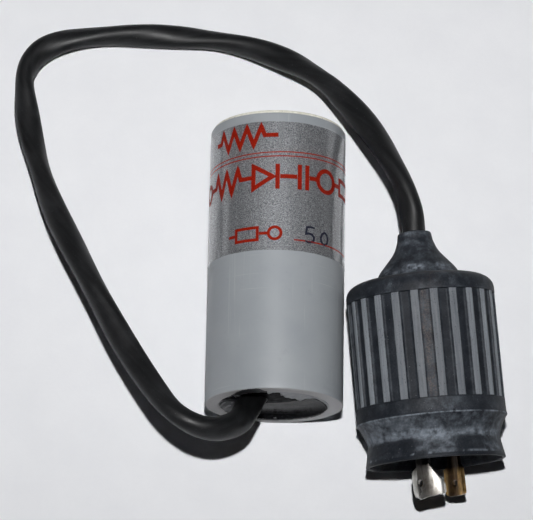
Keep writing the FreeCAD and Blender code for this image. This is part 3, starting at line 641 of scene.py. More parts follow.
# how the flat of the jacket turns along the way, by distance in millimetres seen from above
view = np.array(BACK)
flat_d = path - np.outer((path - np.array(EYE)) @ view, view)
seen = np.concatenate([[0], np.cumsum(np.linalg.norm(np.diff(flat_d, axis=0), axis=1))]) / MM * 2.83
turn_s = [165, 246, 316, 372, 428, 470, 512, 568, 638, 694, 764, 806, 870, 940]
turn_v = [math.pi / 2 * k for k in range(len(turn_s))]
first, last = (turn_v[1] - turn_v[0]) / (turn_s[1] - turn_s[0]), (turn_v[-1] - turn_v[-2]) / (turn_s[-1] - turn_s[-2])
phase = np.interp(seen, turn_s, turn_v)
phase = np.where(seen < turn_s[0], turn_v[0] + (seen - turn_s[0]) * first, phase)
phase = np.where(seen > turn_s[-1], turn_v[-1] + (seen - turn_s[-1]) * last, phase)
kern = np.hanning(41)
kern /= kern.sum()
phase = np.convolve(np.pad(phase, 20, mode="edge") + 0.0, kern, mode="valid")
side = np.cross(tan, view)
side /= np.linalg.norm(side, axis=1)[:, None]
top = np.cross(side, tan)
RING = 40
# the jacket is not equally full everywhere
FULL_S = [0, 20, 50, 75, 95, 120, 160, 205, 235, 258, 300, 330, 358, 390, 440, 470, 512, 568, 640, 700, 770, 806, 850, 880, 920, 960]
FULL_V = [1.03, 1.05, 1.10, 1.08, 1.01, 1.02, 0.985, 1.085, 1.14, 1.13, 1.035, 1.02, 1.06, 1.03, 1.03, 0.98, 1.0, 1.02, 0.99, 1.0, 1.0, 1.01,
          1.03, 1.06, 1.05, 1.02]
verts, run = [], []
for i in range(len(path)):
    s = arc[i] / MM
    near_end = min(smooth(0.0, 6.0, s), smooth(0.0, 9.0, CORD_LEN / MM - s))
    full = float(np.interp(seen[i], FULL_S, FULL_V)) - 1.0
    a = CR + (0.47 + CR * full) * near_end
    b = CR - (0.43 - CR * full) * near_end
    ca, sa = math.cos(phase[i]), math.sin(phase[i])
    e1 = side[i] * ca + top[i] * sa
    e2 = -side[i] * sa + top[i] * ca
    for k in range(RING):
        th = 2 * math.pi * k / RING
        x, y = math.cos(th), math.sin(th)
        # two cores under the jacket leave a faint waist on the flats
        w = 1.0 - 0.018 * near_end * bump_at(abs(math.sin(th)), 1.0, 0.35)
        lump = 0.035 * near_end * noise.noise(Vector((x * 1.3, y * 1.3, s * 0.12)))
        p = path[i] / MM + e1 * (x * (a * w + lump)) + e2 * (y * (b * w + lump))
        verts.append(p)
        run.append((x * CR * MM, y * CR * MM, s * MM))
faces = []
for i in range(len(path) - 1):
    for k in range(RING):
        k2 = (k + 1) % RING
        faces.append((i * RING + k, i * RING + k2, (i + 1) * RING + k2, (i + 1) * RING + k))
c0, c1 = len(verts), len(verts) + 1
verts += [path[0] / MM, path[-1] / MM]
run += [(0, 0, 0), (0, 0, CORD_LEN)]
for k in range(RING):
    k2 = (k + 1) % RING
    faces.append((c0, k2, k))
    faces.append((c1, (len(path) - 1) * RING + k, (len(path) - 1) * RING + k2))
cord = mesh_object("lead", verts, faces, CORD)
attribute3(cord, "run", run)
outward(cord)
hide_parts("cord")

# ------------------------------------------------------------------ rubber boot, in the plug's own frame (z forward)
RIB_REAR, RIB_FRONT, DEPTH = -42.67, -5.45, 0.9
OUTER = [
    (4.0, -66.45), (4.25, -66.68), (4.6, -66.7), (5.1, -66.7), (5.45, -66.62), (5.75, -66.4), (5.94, -66.0), (6.02, -65.5),
    (6.1, -64.9), (6.2, -64.2), (6.32, -63.6), (6.5, -63.1), (6.66, -62.6), (6.88, -61.95), (7.15, -61.3), (7.55, -60.45),
    (8.05, -59.6), (8.6, -58.8), (9.2, -58.05), (9.9, -57.2), (10.6, -56.4), (11.3, -55.6), (12.0, -54.8),
    (12.65, -54.05), (13.2, -53.35), (13.68, -52.65), (14.0, -52.1), (14.22, -51.6), (14.4, -51.15), (14.52, -50.75),
    (14.58, -50.4), (14.63, -50.15), (14.78, -49.97), (15.2, -49.84), (15.9, -49.78), (17.0, -49.75), (18.3, -49.71),
    (19.5, -49.66), (20.5, -49.56), (21.4, -49.44), (22.2, -49.22), (22.9, -48.95), (23.5, -48.62), (24.1, -48.25),
    (24.6, -47.85), (25.0, -47.4), (25.35, -46.9), (25.62, -46.4), (25.82, -45.85), (25.93, -45.3), (25.99, -44.7),
    (25.99, -44.1), (25.99, -43.5), (25.99, -43.0)]
RIBS = [RIB_REAR - 0.06, RIB_REAR + 0.05, RIB_REAR + 0.22, RIB_REAR + 0.5]
RIBS += [RIB_REAR + 0.5 + (RIB_FRONT - RIB_REAR - 1.0) * k / 26.0 for k in range(1, 27)]
RIBS += [RIB_FRONT - 0.22, RIB_FRONT - 0.05, RIB_FRONT + 0.06]
FRONT = [
    (25.99, -5.0), (26.0, -4.3), (26.02, -3.5), (26.04, -2.6), (26.06, -1.8), (26.08, -1.2), (26.13, -0.75), (26.24, -0.38),
    (26.31, -0.06), (26.24, 0.2), (25.98, 0.42), (25.6, 0.85), (25.15, 1.6), (24.75, 2.4), (24.4, 3.15), (24.05, 3.95),
    (23.72, 4.75), (23.42, 5.5), (23.2, 6.1), (23.06, 6.6), (22.99, 7.0), (22.99, 7.4), (23.04, 7.9), (23.14, 8.5),
    (23.3, 9.3), (23.46, 10.1), (23.64, 11.0), (23.8, 11.8), (23.97, 12.6), (24.1, 13.25), (24.2, 13.75), (24.3, 14.2),
    (24.34, 14.5), (24.3, 14.7), (24.16, 14.86), (23.85, 14.95), (23.5, 14.96), (23.2, 14.90), (23.0, 14.7)]
INNER = [
    (22.92, 14.2), (22.75, 13.2), (22.4, 11.9), (21.95, 10.4), (21.45, 8.9), (21.0, 7.6), (20.55, 6.9), (20.0, 6.4),
    (19.66, 6.05), (19.6, 5.0), (19.6, 0.0), (19.6, -12.0), (19.6, -24.0), (19.6, -33.7), (19.2, -34.0), (16.0, -34.0),
    (13.2, -34.02), (13.0, -34.4), (13.0, -40.0), (13.0, -45.1), (12.6, -45.5), (8.0, -45.5), (4.3, -45.5),
    (4.02, -45.8), (4.0, -50.0), (4.0, -56.0), (4.0, -61.0), (4.0, -65.8)]
PITCH = 15.0
PHASE = 86.4
COLS = [-3.32, -2.8, -1.5, 0.0, 1.5, 2.8, 3.32, 3.52, 3.75, 4.1, 5.2, 6.4, 7.5, 8.6, 9.8, 10.9, 11.25, 11.48]
CUT_X = [0.0, 2.8, 3.1, 3.32, 3.52, 3.75, 4.1, 5.2, 7.5]
CUT_Y = [0.0, 0.0, 0.02, 0.10, 0.34, 0.68, 0.86, 0.9, 0.9]
columns = [(k, c) for k in range(24) for c in COLS]
rows = [(r, z, "outer") for r, z in OUTER] + [(25.99, z, "rib") for z in RIBS] + \
       [(r, z, "front") for r, z in FRONT] + [(r, z, "inner") for r, z in INNER]
verts, chalk, ribm, brown = [], [], [], []
painted_rib_sheen = []
for r0, z0, part in rows:
    for k, cdeg in columns:
        deg = PHASE + k * PITCH + cdeg
        th = math.radians(deg)
        cx, cy = math.cos(th), math.sin(th)
        q = abs(cdeg) if cdeg <= 7.5 else 15.0 - cdeg
        r, z = r0, z0
        ch = rb = br = 0.0
        X, Y = r0 * cx, r0 * cy
        face_deg = (deg + 180.0) % 360.0 - 180.0     # 90 is the top of the plug as it lies
        if part == "rib":
            inside = smooth(RIB_REAR - 0.02, RIB_REAR + 0.25, z0) * (1 - smooth(RIB_FRONT - 0.25, RIB_FRONT + 0.02, z0))
            cut = float(np.interp(q, CUT_X, CUT_Y)) * inside
            r -= cut
            # worn tops: slightly hollow and uneven
            if q < 3.4:
                r -= 0.05 * inside * (0.5 + 0.5 * nz(k * 3.1, 0.0, z0, 0.11)) + 0.03 * inside * bump_at(q, 3.2, 0.7)
            else:
                r += 0.05 * nz(X, Y, z0, 0.23, 5.0)
            wob = 0.28 * fbm(X, Y, z0, 0.30, 3, 2.0)
            rb = inside * (1.0 - smooth(2.85, 3.32, q + wob * 0.30))
            rb *= 0.80 + 0.30 * fbm(X, Y, z0, 0.12, 3, 9.0)
            gap = inside * smooth(4.0, 5.2, q)
            # the rib walls get extra chalk tone here, painted light that lifts the shade on them
            ch = 0.03 + 0.015 * gap + 0.085 * inside * bump_at(q, 3.9, 0.9) + 0.04 * max(-0.2, fbm(X, Y, z0, 0.25, 4, 4.0))
            ch += 0.05 * inside * bump_at(q, 3.40, 0.20) * (0.5 + nz(X, Y, z0, 0.8, 7.0))
            # the gap that faces up is rubbed paler and carries brown dust
            centre = smooth(89.1, 89.6, face_deg) * (1.0 - smooth(98.2, 98.7, face_deg))
            ch += 0.14 * centre * inside * (0.6 + 1.2 * max(0.0, fbm(X, Y, z0 * 0.4, 0.8, 3, 5.0)))
            br = 0.62 * centre * inside * max(0.0, 0.35 + 1.3 * fbm(X * 1.0, Y * 1.0, z0 * 0.35, 0.9, 3, 3.0)) * smooth(3.25, 3.6, q)
        elif part == "outer":
            if z0 > -50.3 and z0 < -42.9:
                r += 0.05 * fbm(X, Y, z0, 0.12, 3, 6.0)
                ch = 0.05 + 0.42 * max(0.0, fbm(X, Y, z0, 0.20, 4, 1.0))
                ch += 0.10 * bump_at(z0, -49.7, 0.6)
                ch += 0.22 * bump_at(z0, -42.8, 0.35) * (0.5 + nz(X, Y, 0.0, 0.5, 3.0))
                br = 0.30 * bump_at(face_deg, 88.0, 12.0) * max(0.0, fbm(X, Y, z0, 0.5, 3, 8.0) + 0.2)
            else:
                r += (0.06 if z0 > -63.5 else 0.03) * fbm(X, Y, z0, 0.22, 3, 6.0)
                ch = 0.13 + 0.45 * max(-0.15, fbm(X, Y, z0 * 1.6, 0.34, 5, 2.5))
                # whitish chalk gathers at the foot of the cone
                foot = bump_at(z0, -52.6, 1.9)
                patch = 0.12 + 1.1 * bump_at(face_deg, 101.0, 24.0) + 0.8 * bump_at(face_deg, 152.0, 20.0) + 0.35 * bump_at(face_deg, 60.0, 20.0)
                ch += 1.30 * foot * patch * max(0.0, 0.34 + 1.9 * fbm(X, Y, z0 * 3.2, 0.50, 5, 0.7))
                ch += 0.25 * bump_at(z0, -66.0, 1.3) * (0.5 + nz(X, Y, z0, 0.5, 1.0))
        elif part == "front":
            if z0 < -0.3:
                ch = 0.05 + 0.24 * max(0.0, fbm(X, Y, z0, 0.20, 4, 3.0)) + 0.30 * bump_at(face_deg, 86.0, 22.0) * (0.5 + fbm(X, Y, z0, 0.35, 4, 2.0))
            else:
                r += 0.07 * smooth(0.6, 3.0, z0) * (1.0 - smooth(13.0, 14.4, z0)) * fbm(X, Y, z0, 0.10, 3, 8.0)
                # chalk in fine streaks, thickest round the waist and over the top
                ch = 0.20 + 0.60 * max(-0.24, fbm(X, Y, z0 * 2.6, 0.36, 5, 5.5)) + 0.25 * max(-0.3, fbm(X, Y, z0 * 2.0, 0.11, 3, 1.5))
                ch += 0.16 * smooth(108.0, 118.0, face_deg) * (1.0 - smooth(6.8, 7.8, z0)) * (1.0 + fbm(X, Y, z0 * 2.0, 0.5, 3, 7.7))
                ch += 0.36 * bump_at(z0, 6.5, 2.3) * (0.85 + 0.6 * fbm(X, Y, z0 * 3.0, 0.5, 4, 6.1))
                ch += 0.55 * bump_at(face_deg, 93.0, 19.0) * bump_at(z0, 6.6, 7.0) * max(0.0, 0.40 + 1.7 * fbm(X, Y, z0 * 1.6, 0.55, 5, 2.2))
                # two pressed fields below the waist that the wear has not reached, and two round the other side
                f = face_deg + 2.2 * nz(X, Y, z0, 0.25, 3.0)
                field = smooth(109.0, 116.0, f) * (1.0 - smooth(157.0, 167.0, f)) + smooth(48.0, 56.0, f) * (1.0 - smooth(75.0, 82.0, f))
                field += 0.6 * smooth(-62.0, -52.0, f) * (1.0 - smooth(-20.0, -10.0, f)) + 0.6 * smooth(-150.0, -140.0, f) * (1.0 - smooth(-105.0, -95.0, f))
                field *= smooth(7.2, 8.3, z0 + 0.5 * nz(X, Y, 0.0, 0.22, 9.0))
                r -= 0.06 * field * (1.0 - smooth(12.5, 13.6, z0))
                ch = ch * (1.0 - 0.84 * field) + 0.02 * field
                # painted shade: a darker band at the rim, its chalk taken away, behind a broken scuff line
                rim_band = smooth(13.2, 13.7, z0)
                ch *= 1.0 - 0.85 * rim_band
                ch += 0.80 * bump_at(z0, 13.35, 0.45) * (smooth(46.0, 52.0, face_deg) * (1.0 - smooth(66.0, 71.0, face_deg)) + max(0.0, 1.9 * nz(X, Y, 0.0, 0.75, 4.4) - 0.35))
                if face_deg < 8.0 or face_deg > 172.0:
                    ch += 0.22 * bump_at(z0, 14.75, 0.35)
            # pale line on the raised lip, broken by a nick
            ch += 0.85 * bump_at(z0, -0.02, 0.36) * max(0.2, 0.8 + 0.9 * nz(X, Y, 0.0, 0.35, 4.0))
            nick = bump_at(face_deg, 79.5, 1.3) * bump_at(z0, -0.1, 1.0)
            r -= 0.45 * nick
            ch -= 0.9 * nick
            ch = max(0.0, ch)
        else:
            ch = 0.10
        verts.append((r * cx, r * cy, z))
        chalk.append(max(0.0, min(1.3, ch)))
        ribm.append(rb)
        brown.append(br)
        # painted sheen: rib tops are given a lighter tone away from the top of the plug, so they are darkest where they
        # face up
        off = abs((face_deg - 94.0 + 180.0) % 360.0 - 180.0)
        painted_rib_sheen.append(smooth(5.0, 62.0, off) * (1.0 - 0.5 * smooth(70.0, 110.0, off)))
NC, NR = len(columns), len(rows)
faces = []
for i in range(NR):
    i2 = (i + 1) % NR
    for k in range(NC):
        k2 = (k + 1) % NC
        faces.append((i * NC + k, i * NC + k2, i2 * NC + k2, i2 * NC + k))
boot = mesh_object("boot", verts, faces, BOOT, PLUG)
attribute(boot, "chalk", chalk)
attribute(boot, "rib", ribm)
attribute(boot, "brown", brown)
attribute(boot, "painted_rib_sheen", painted_rib_sheen)
outward(boot)
sharp_by_angle(boot, 50)
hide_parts("plug_boot")


# ------------------------------------------------------------------ blades: the solids' shapes with their stamped edges broken
def eased_copy(node, name, mat, width, segments):
    me = NODES[node].data.copy()
    me.name = name
    me.transform(PLUG.inverted())
    bm = bmesh.new()
    bm.from_mesh(me)
    bmesh.ops.remove_doubles(bm, verts=bm.verts[:], dist=2e-6)
    bmesh.ops.dissolve_limit(bm, angle_limit=math.radians(0.6), verts=bm.verts[:], edges=bm.edges[:])
    bmesh.ops.recalc_face_normals(bm, faces=bm.faces[:])
    bm.to_mesh(me)
    bm.free()
    me.materials.clear()
    me.materials.append(mat)
    ob = bpy.data.objects.new(name, me)
    SC.collection.objects.link(ob)
    bev = ob.modifiers.new("edge", "BEVEL")
    bev.width = width * MM
    bev.segments = segments
    bev.limit_method = "ANGLE"
    bev.angle_limit = math.radians(32)
    bev.use_clamp_overlap = True
    bpy.context.view_layer.update()
    done = bpy.data.meshes.new_from_object(ob.evaluated_get(bpy.context.evaluated_depsgraph_get()))
    ob.modifiers.clear()
    ob.data = done
    done.name = name
    own_coordinates(done)
    done.transform(PLUG)
    for p in done.polygons:
        p.use_smooth = True
    sharp_by_angle(ob, 38)
    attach(ob, "root")
    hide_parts(node)
    return ob


blade_n = eased_copy("blade_nickel", "contact_nickel", NICKEL, 0.16, 2)
blade_b = eased_copy("blade_brass", "contact_brass", BRASS, 0.16, 2)


# ------------------------------------------------------------------ housing
def H(r, ang, y):
    """a point round the housing: radius, angle from the top towards +X in radians, row y"""
    return (r * math.sin(ang), y, AXIS_Z + r * math.cos(ang))


def revolved(rows_ry, n, name, mat, wobble=None):
    verts, faces = [], []
    for r, y in rows_ry:
        for k in range(n):
            a = 2 * math.pi * k / n
            dr, dy = wobble(r, y, a) if wobble else (0.0, 0.0)
            verts.append(H(r + dr, a, y + dy))
    nr = len(rows_ry)
    for i in range(nr):
        i2 = (i + 1) % nr
        for k in range(n):
            k2 = (k + 1) % n
            faces.append((i * n + k, i * n + k2, i2 * n + k2, i2 * n + k))
    ob = mesh_object(name, verts, faces, mat)
    outward(ob)
    return ob


def tube_wobble(r, y, a):
    x, z = math.sin(a) * r, math.cos(a) * r
    dy = 0.0
    if y < MOUTH_Y + 0.6:
        dy = 0.05 * (0.5 + 0.5 * nz(x, z, 0.0, 0.25, 2.0)) * (1 if y < MOUTH_Y + 0.05 else 0.4)
    return 0.0, dy


Y0, Y1 = MOUTH_Y, MOUTH_Y + TUBE_LEN
prof = [(R_BORE, Y0 + 0.55), (R_BORE + 0.05, Y0 + 0.32), (R_BORE + 0.18, Y0 + 0.14), (R_BORE + 0.42, Y0 + 0.02),
        (R_BORE + 0.8, Y0), (R_BORE + 1.6, Y0), (R_BORE + 2.6, Y0), (R_TUBE - 1.5, Y0), (R_TUBE - 0.75, Y0),
        (R_TUBE - 0.40, Y0 + 0.03), (R_TUBE - 0.16, Y0 + 0.14), (R_TUBE - 0.04, Y0 + 0.34), (R_TUBE, Y0 + 0.6)]
prof += [(R_TUBE, Y0 + 0.6 + (TUBE_LEN - 1.2) * k / 40.0) for k in range(1, 41)]
prof += [(R_TUBE - 0.04, Y1 - 0.34), (R_TUBE - 0.16, Y1 - 0.14), (R_TUBE - 0.40, Y1 - 0.02), (R_TUBE - 0.8, Y1),
         (R_BORE + 2.0, Y1), (R_BORE, Y1)]
prof += [(R_BORE, Y1 - (TUBE_LEN - 0.9) * k / 8.0) for k in range(1, 9)]
tube = revolved(prof, 224, "pipe", PIPE, tube_wobble)
tube.data.materials.append(PIPE_CUT)
for p in tube.data.polygons:
    c = p.center / MM
    rr = math.hypot(c.x, c.z - AXIS_Z)
    if c.y < Y0 + 0.5 and rr < R_TUBE - 0.12:
        p.material_index = 1
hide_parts("housing_tube")

# label stock: a thin sleeve with a barely uneven edge
prof = [(R_TUBE + 0.002, FOIL_Y0), (R_TUBE + 0.06, FOIL_Y0 - 0.01), (R_FOIL, FOIL_Y0 + 0.05)]
prof += [(R_FOIL, FOIL_Y0 + 0.05 + (FOIL_Y1 - FOIL_Y0 - 0.1) * k / 36.0) for k in range(1, 37)]
prof += [(R_TUBE + 0.06, FOIL_Y1 + 0.01), (R_TUBE + 0.002, FOIL_Y1)]
prof += [(R_TUBE + 0.002, FOIL_Y1 - (FOIL_Y1 - FOIL_Y0) * k / 8.0) for k in range(1, 8)]


def foil_wobble(r, y, a):
    return (0.012 * nz(math.sin(a) * 24, math.cos(a) * 24, y, 0.10, 3.0) - 0.010 if r > R_TUBE + 0.08 else 0.0), \
        0.05 * nz(math.sin(a) * 24, math.cos(a) * 24, 0.0, 0.25, 1.0)


foil = revolved(prof, 288, "label", FOIL, foil_wobble)
sharp_by_angle(foil, 20)
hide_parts("foil_label")


# ------------------------------------------------------------------ print on the label: plain circuit symbols, rules, a written value
class Print:
    """ribbons of ink laid on the label; u runs round the pipe from the top, y along it, in mm"""

    def __init__(self):
        self.v, self.f = [], []

    def ribbon(self, pts, width, closed=False, lift=0.045, taper=False, step=0.6):
        p = [np.array(q, float) for q in pts]
        if closed:
            p.append(p[0])
        dense = [p[0]]
        for a, b in zip(p[:-1], p[1:]):
            n = max(1, int(math.ceil(np.linalg.norm(b - a) / step)))
            dense += [a + (b - a) * j / n for j in range(1, n + 1)]
        if closed:
            dense = dense[:-1]
        n = len(dense)
        left, right = [], []
        for i, q in enumerate(dense):
            a = dense[(i - 1) % n] if closed or i > 0 else None
            b = dense[(i + 1) % n] if closed or i < n - 1 else None
            d1 = (q - a) / np.linalg.norm(q - a) if a is not None else None
            d2 = (b - q) / np.linalg.norm(b - q) if b is not None else None
            if d1 is None:
                d1 = d2
            if d2 is None:
                d2 = d1
            n1, n2 = np.array([-d1[1], d1[0]]), np.array([-d2[1], d2[0]])
            m_ = n1 + n2
            m_ = m_ / np.linalg.norm(m_)
            k = 1.0 / max(0.45, float(m_ @ n1))
            w = width / 2.0
            if taper:
                w *= 0.72 + 0.28 * math.sin(math.pi * min(1.0, (i + 0.5) / n))
            left.append(q + m_ * w * k)
            right.append(q - m_ * w * k)
        base = len(self.v)
        rt, rb = R_FOIL + lift, R_FOIL - 0.03
        for l_, r_ in zip(left, right):
            for q, rad in ((l_, rt), (r_, rt), (r_, rb), (l_, rb)):
                self.v.append(H(rad, q[0] / R_FOIL, q[1]))
        last_i = n if closed else n - 1
        for i in range(last_i):
            a, b = base + 4 * i, base + 4 * ((i + 1) % n)
            for j in range(4):
                j2 = (j + 1) % 4
                self.f.append((a + j, a + j2, b + j2, b + j))
        if not closed:
            self.f.append((base + 3, base + 2, base + 1, base))
            e = base + 4 * (n - 1)
            self.f.append((e, e + 1, e + 2, e + 3))

    def dot(self, u, y, r, n=20, lift=0.045):
        base = len(self.v)
        for rad in (R_FOIL + lift, R_FOIL - 0.03):
            for k in range(n):
                a = 2 * math.pi * k / n
                self.v.append(H(rad, (u + r * math.cos(a)) / R_FOIL, y + r * math.sin(a)))
        self.f.append(tuple(base + k for k in range(n)))
        self.f.append(tuple(base + n + k for k in reversed(range(n))))
        for k in range(n):
            k2 = (k + 1) % n
            self.f.append((base + k, base + k2, base + n + k2, base + n + k))

    def done(self, name, mat):
        ob = mesh_object(name, self.v, self.f, mat, flat=True)
        outward(ob)
        return ob


def slant(u):
    """the label was stuck on a shade askew"""
    return 0.030 * u


def circle(u, y, r, n=40):
    return [(u + r * math.cos(2 * math.pi * k / n), y + r * math.sin(2 * math.pi * k / n)) for k in range(n)]


bold = Print()
B = 1.55
# upper row: a large resistor sign
y = 40.9
zig = [(-27.2, y), (-24.6, y)]
for k, du in enumerate((1.35, 2.7, 2.7, 2.7, 2.7, 2.7, 2.7)):
    zig.append((zig[-1][0] + du, y + (3.4 if k % 2 == 0 else -3.4)))
zig += [(zig[-1][0] + 1.35, y), (-0.9, y)]
bold.ribbon([(u, v + 0.5 * slant(u + 12)) for u, v in zig], B)
# lower row: terminal, resistor, rectifier sign, lamp sign, box sign on one line
y = 25.7
row = []
bold.ribbon([(u, v + slant(u)) for u, v in circle(-34.5, y, 3.1)], B, closed=True)
zig = [(-31.0, y), (-27.6, y)]
for k, du in enumerate((1.3, 2.6, 2.6, 2.6, 2.6)):
    zig.append((zig[-1][0] + du, y + (4.1 if k % 2 == 0 else -4.1)))
zig += [(zig[-1][0] + 1.3, y), (-10.4, y)]
bold.ribbon([(u, v + slant(u)) for u, v in zig], B)
bold.ribbon([(u, v + slant(u)) for u, v in [(-9.6, y - 4.1), (-9.6, y + 4.1), (-2.7, y)]], B, closed=True)
bold.ribbon([(u, v + slant(u)) for u, v in [(-1.0, y - 4.6), (-1.0, y + 4.6)]], B)
bold.ribbon([(u, v + slant(u)) for u, v in [(-0.1, y), (6.0, y)]], B)
bold.ribbon([(u, v + slant(u)) for u, v in [(6.9, y - 4.6), (6.9, y + 4.6)]], B)
bold.ribbon([(u, v + slant(u)) for u, v in [(9.7, y - 4.6), (9.7, y + 4.6)]], B)
bold.ribbon([(u, v + slant(u)) for u, v in [(10.6, y), (13.5, y)]], B)
bold.ribbon([(u, v + slant(u)) for u, v in circle(18.0, y, 3.9)], B, closed=True)
bold.ribbon([(u, v + slant(u)) for u, v in [(22.7, y), (25.4, y)]], B)
bold.ribbon([(u, v + slant(u)) for u, v in [(26.2, y - 2.7), (26.2, y + 2.7), (35.5, y + 2.7), (35.5, y - 2.7)]], B, closed=True)
# small row: resistor sign beside the write-in line
y = 4.8
SB = 1.05
bold.ribbon([(u, v + slant(u + 8) * 0.5) for u, v in [(-19.2, y), (-16.6, y)]], SB)
bold.ribbon([(u, v + slant(u + 8) * 0.5) for u, v in [(-16.0, y - 2.2), (-16.0, y + 2.2), (-7.8, y + 2.2), (-7.8, y - 2.2)]], SB, closed=True)
bold.ribbon([(u, v + slant(u + 8) * 0.5) for u, v in [(-7.2, y), (-4.4, y)]], SB)
bold.ribbon([(u, v + slant(u + 8) * 0.5) for u, v in circle(-1.7, y, 2.2, 28)], SB, closed=True)
bold.done("print_bold", PRINT)

thin = Print()
us = [-36.0 + 72.0 * k / 60.0 for k in range(61)]
thin.ribbon([(u, 34.75 + 0.036 * u) for u in us], 0.42)
thin.ribbon([(u, 33.25 + 0.034 * u) for u in us], 0.42)
thin.ribbon([(u, 2.75 + 0.06 * math.sin((u - 5) / 8.0)) for u in [5.1 + 27.5 * k / 30.0 for k in range(31)]], 0.50)
thin.done("print_rules", PRINT_THIN)

ink = Print()
ink.ribbon([(13.0, 8.0), (11.3, 8.15), (9.9, 7.95), (9.7, 6.6), (9.55, 5.5), (10.6, 5.75), (11.9, 5.5), (12.7, 4.6), (12.6, 3.5),
            (11.7, 2.65), (10.3, 2.45), (9.2, 2.9)], 0.85, taper=True, step=0.35)
ink.ribbon([(17.3, 7.2), (16.2, 6.5), (15.7, 5.2), (15.8, 3.9), (16.6, 3.0), (17.8, 2.9), (18.7, 3.8), (19.0, 5.2), (18.6, 6.6),
            (17.7, 7.25)], 0.80, closed=True, step=0.35)
ink.done("written_value", INK)

# ------------------------------------------------------------------ filling: wets the wall unevenly and climbs round the cord
D0 = Vector(CORD_POINTS[0])
DIR = (Vector(CORD_POINTS[1]) - D0).normalized()


# the sealer's ragged inner edge as it is seen on the plane of the rim: (x, height from the axis)
LEDGE = [(-3.3, 19.3), (-3.1, 16.2), (-2.4, 15.6), (-1.5, 17.0), (-0.7, 18.0), (0.6, 18.1), (1.8, 18.2), (1.2, 16.0), (2.2, 16.3), (1.5, 14.4), (3.2, 14.5), (2.7, 12.6),
         (3.6, 11.4), (4.6, 11.6), (5.6, 10.2), (6.9, 10.5), (7.7, 8.6), (8.9, 7.4), (9.9, 9.4), (10.6, 10.7), (12.0, 11.0),
         (13.3, 11.7), (14.2, 10.9), (15.2, 9.3), (16.5, 6.6), (18.0, 3.4), (19.0, -2.2), (23.0, -2.0), (23.0, 24.0), (-3.3, 24.0)]


def poly_side(x, z, poly):
    """distance to a closed outline, positive inside"""
    c, best, n = False, 1e9, len(poly)
    for i in range(n):
        (ax, az), (bx, bz) = poly[i], poly[(i + 1) % n]
        if (az > z) != (bz > z) and x < (bx - ax) * (z - az) / (bz - az) + ax:
            c = not c
        ex, ez = bx - ax, bz - az
        t = max(0.0, min(1.0, ((x - ax) * ex + (z - az) * ez) / (ex * ex + ez * ez)))
        best = min(best, math.hypot(x - ax - t * ex, z - az - t * ez))
    return best if c else -best


def fill_depth(x, z):
    """depth of the poured surface below the rim; x, z from the pipe's axis"""
    r = math.hypot(x, z)
    ang = math.degrees(math.atan2(z, x))
    q = min(1.0, r / R_BORE)
    high = bump_at(((ang - 112.0 + 180.0) % 360.0) - 180.0, 0.0, 62.0)
    edge = 0.10 + 0.9 * high + 0.15 * nz(math.cos(math.radians(ang)), math.sin(math.radians(ang)), 0, 2.1)
    edge = max(0.05, edge)
    centre = 1.65 + 0.16 * fbm(x, z, 0.0, 0.085, 3, 4.0)
    d = centre - (centre - edge) * (0.72 * q ** 22 + 0.28 * q ** 7)
    s_in = poly_side(x, z + 0.16, LEDGE)
    w = smooth(-0.22, 0.16, s_in)
    d = d + (0.05 + 0.05 * nz(x, z, 0.0, 0.5, 6.0) - d) * w
    P = Vector((x, MOUTH_Y + d, AXIS_Z + z))
    v = P - D0
    rho = (v - DIR * v.dot(DIR)).length
    climb = 1.0 - smooth(CR - 0.3, CR + 2.4, rho)
    return d - max(0.0, d - 1.6) * climb * climb


def fill_look(x, z, d):
    """how far a point of the surface takes the sealer's grey, and how far it is matte black: smeared resin, the foot of
    the bore and painted shadow below the sealer
    """
    pale = smooth(-0.05, 0.10, poly_side(x, z + 0.16, LEDGE))
    seen_z = z + 3.16 * d
    low = seen_z + 0.5 * nz(x, z, 0.0, 0.45, 3.0)
    matte_and_painted_shade = smooth(1.8, 4.4, low - 0.22 * x) * (1.0 - smooth(2.5, 9.0, x)) * max(smooth(-12.5, -10.5, x), smooth(5.6, 7.6, low + 0.35 * (x + 15.0)))
    # painted shadow: a matte black line below the sealer's overhang, broad on the left
    reach = 1.0 - 0.7 * smooth(12.5, 16.0, x) + 3.6 * (1.0 - smooth(3.0, 8.5, x)) + 0.4 * nz(x, z, 0.0, 0.6, 5.0)
    matte_and_painted_shade = max(matte_and_painted_shade, smooth(-reach - 0.7, -reach + 0.5, poly_side(x, seen_z, LEDGE)) * (1.0 - pale))
    # painted shade: right of the smear, the matte areas take a little of the sealer's grey, so the painted shadow reads
    # dark grey
    pale = max(pale, 0.075 * matte_and_painted_shade * smooth(-3.6, -1.4, x) * (1.0 + 0.8 * nz(x, z, 0.0, 0.7, 15.0)))
    # the meniscus at the foot of the bore is black
    foot = -12.3 + 0.30 * nz(x, 0.0, 0.0, 0.3, 2.0)
    matte_and_painted_shade = max(matte_and_painted_shade, (1.0 - smooth(foot - 0.8, foot + 3.4, seen_z)) * (1.0 - smooth(13.0, 15.5, x)))
    # sealer on the far left, its grey also a painted reflection of the floor
    sealer_skin_and_reflection = 1.0 - smooth(-13.8, -12.0, x)
    sealer_skin_and_reflection *= 1.0 - smooth(3.6, 5.8, low + 0.35 * (x + 15.0))
    pale = max(pale, 0.40 * sealer_skin_and_reflection * (0.8 + 0.5 * nz(x, z, 0.0, 0.35, 12.0)))
    return pale, matte_and_painted_shade


verts, faces, pale, matte_and_painted_shade = [], [], [], []
NA, NRAD = 260, 74


def put(x, z):
    d = fill_depth(x, z)
    verts.append((x, MOUTH_Y + d, AXIS_Z + z))
    a, b = fill_look(x, z, d)
    pale.append(a)
    matte_and_painted_shade.append(b)


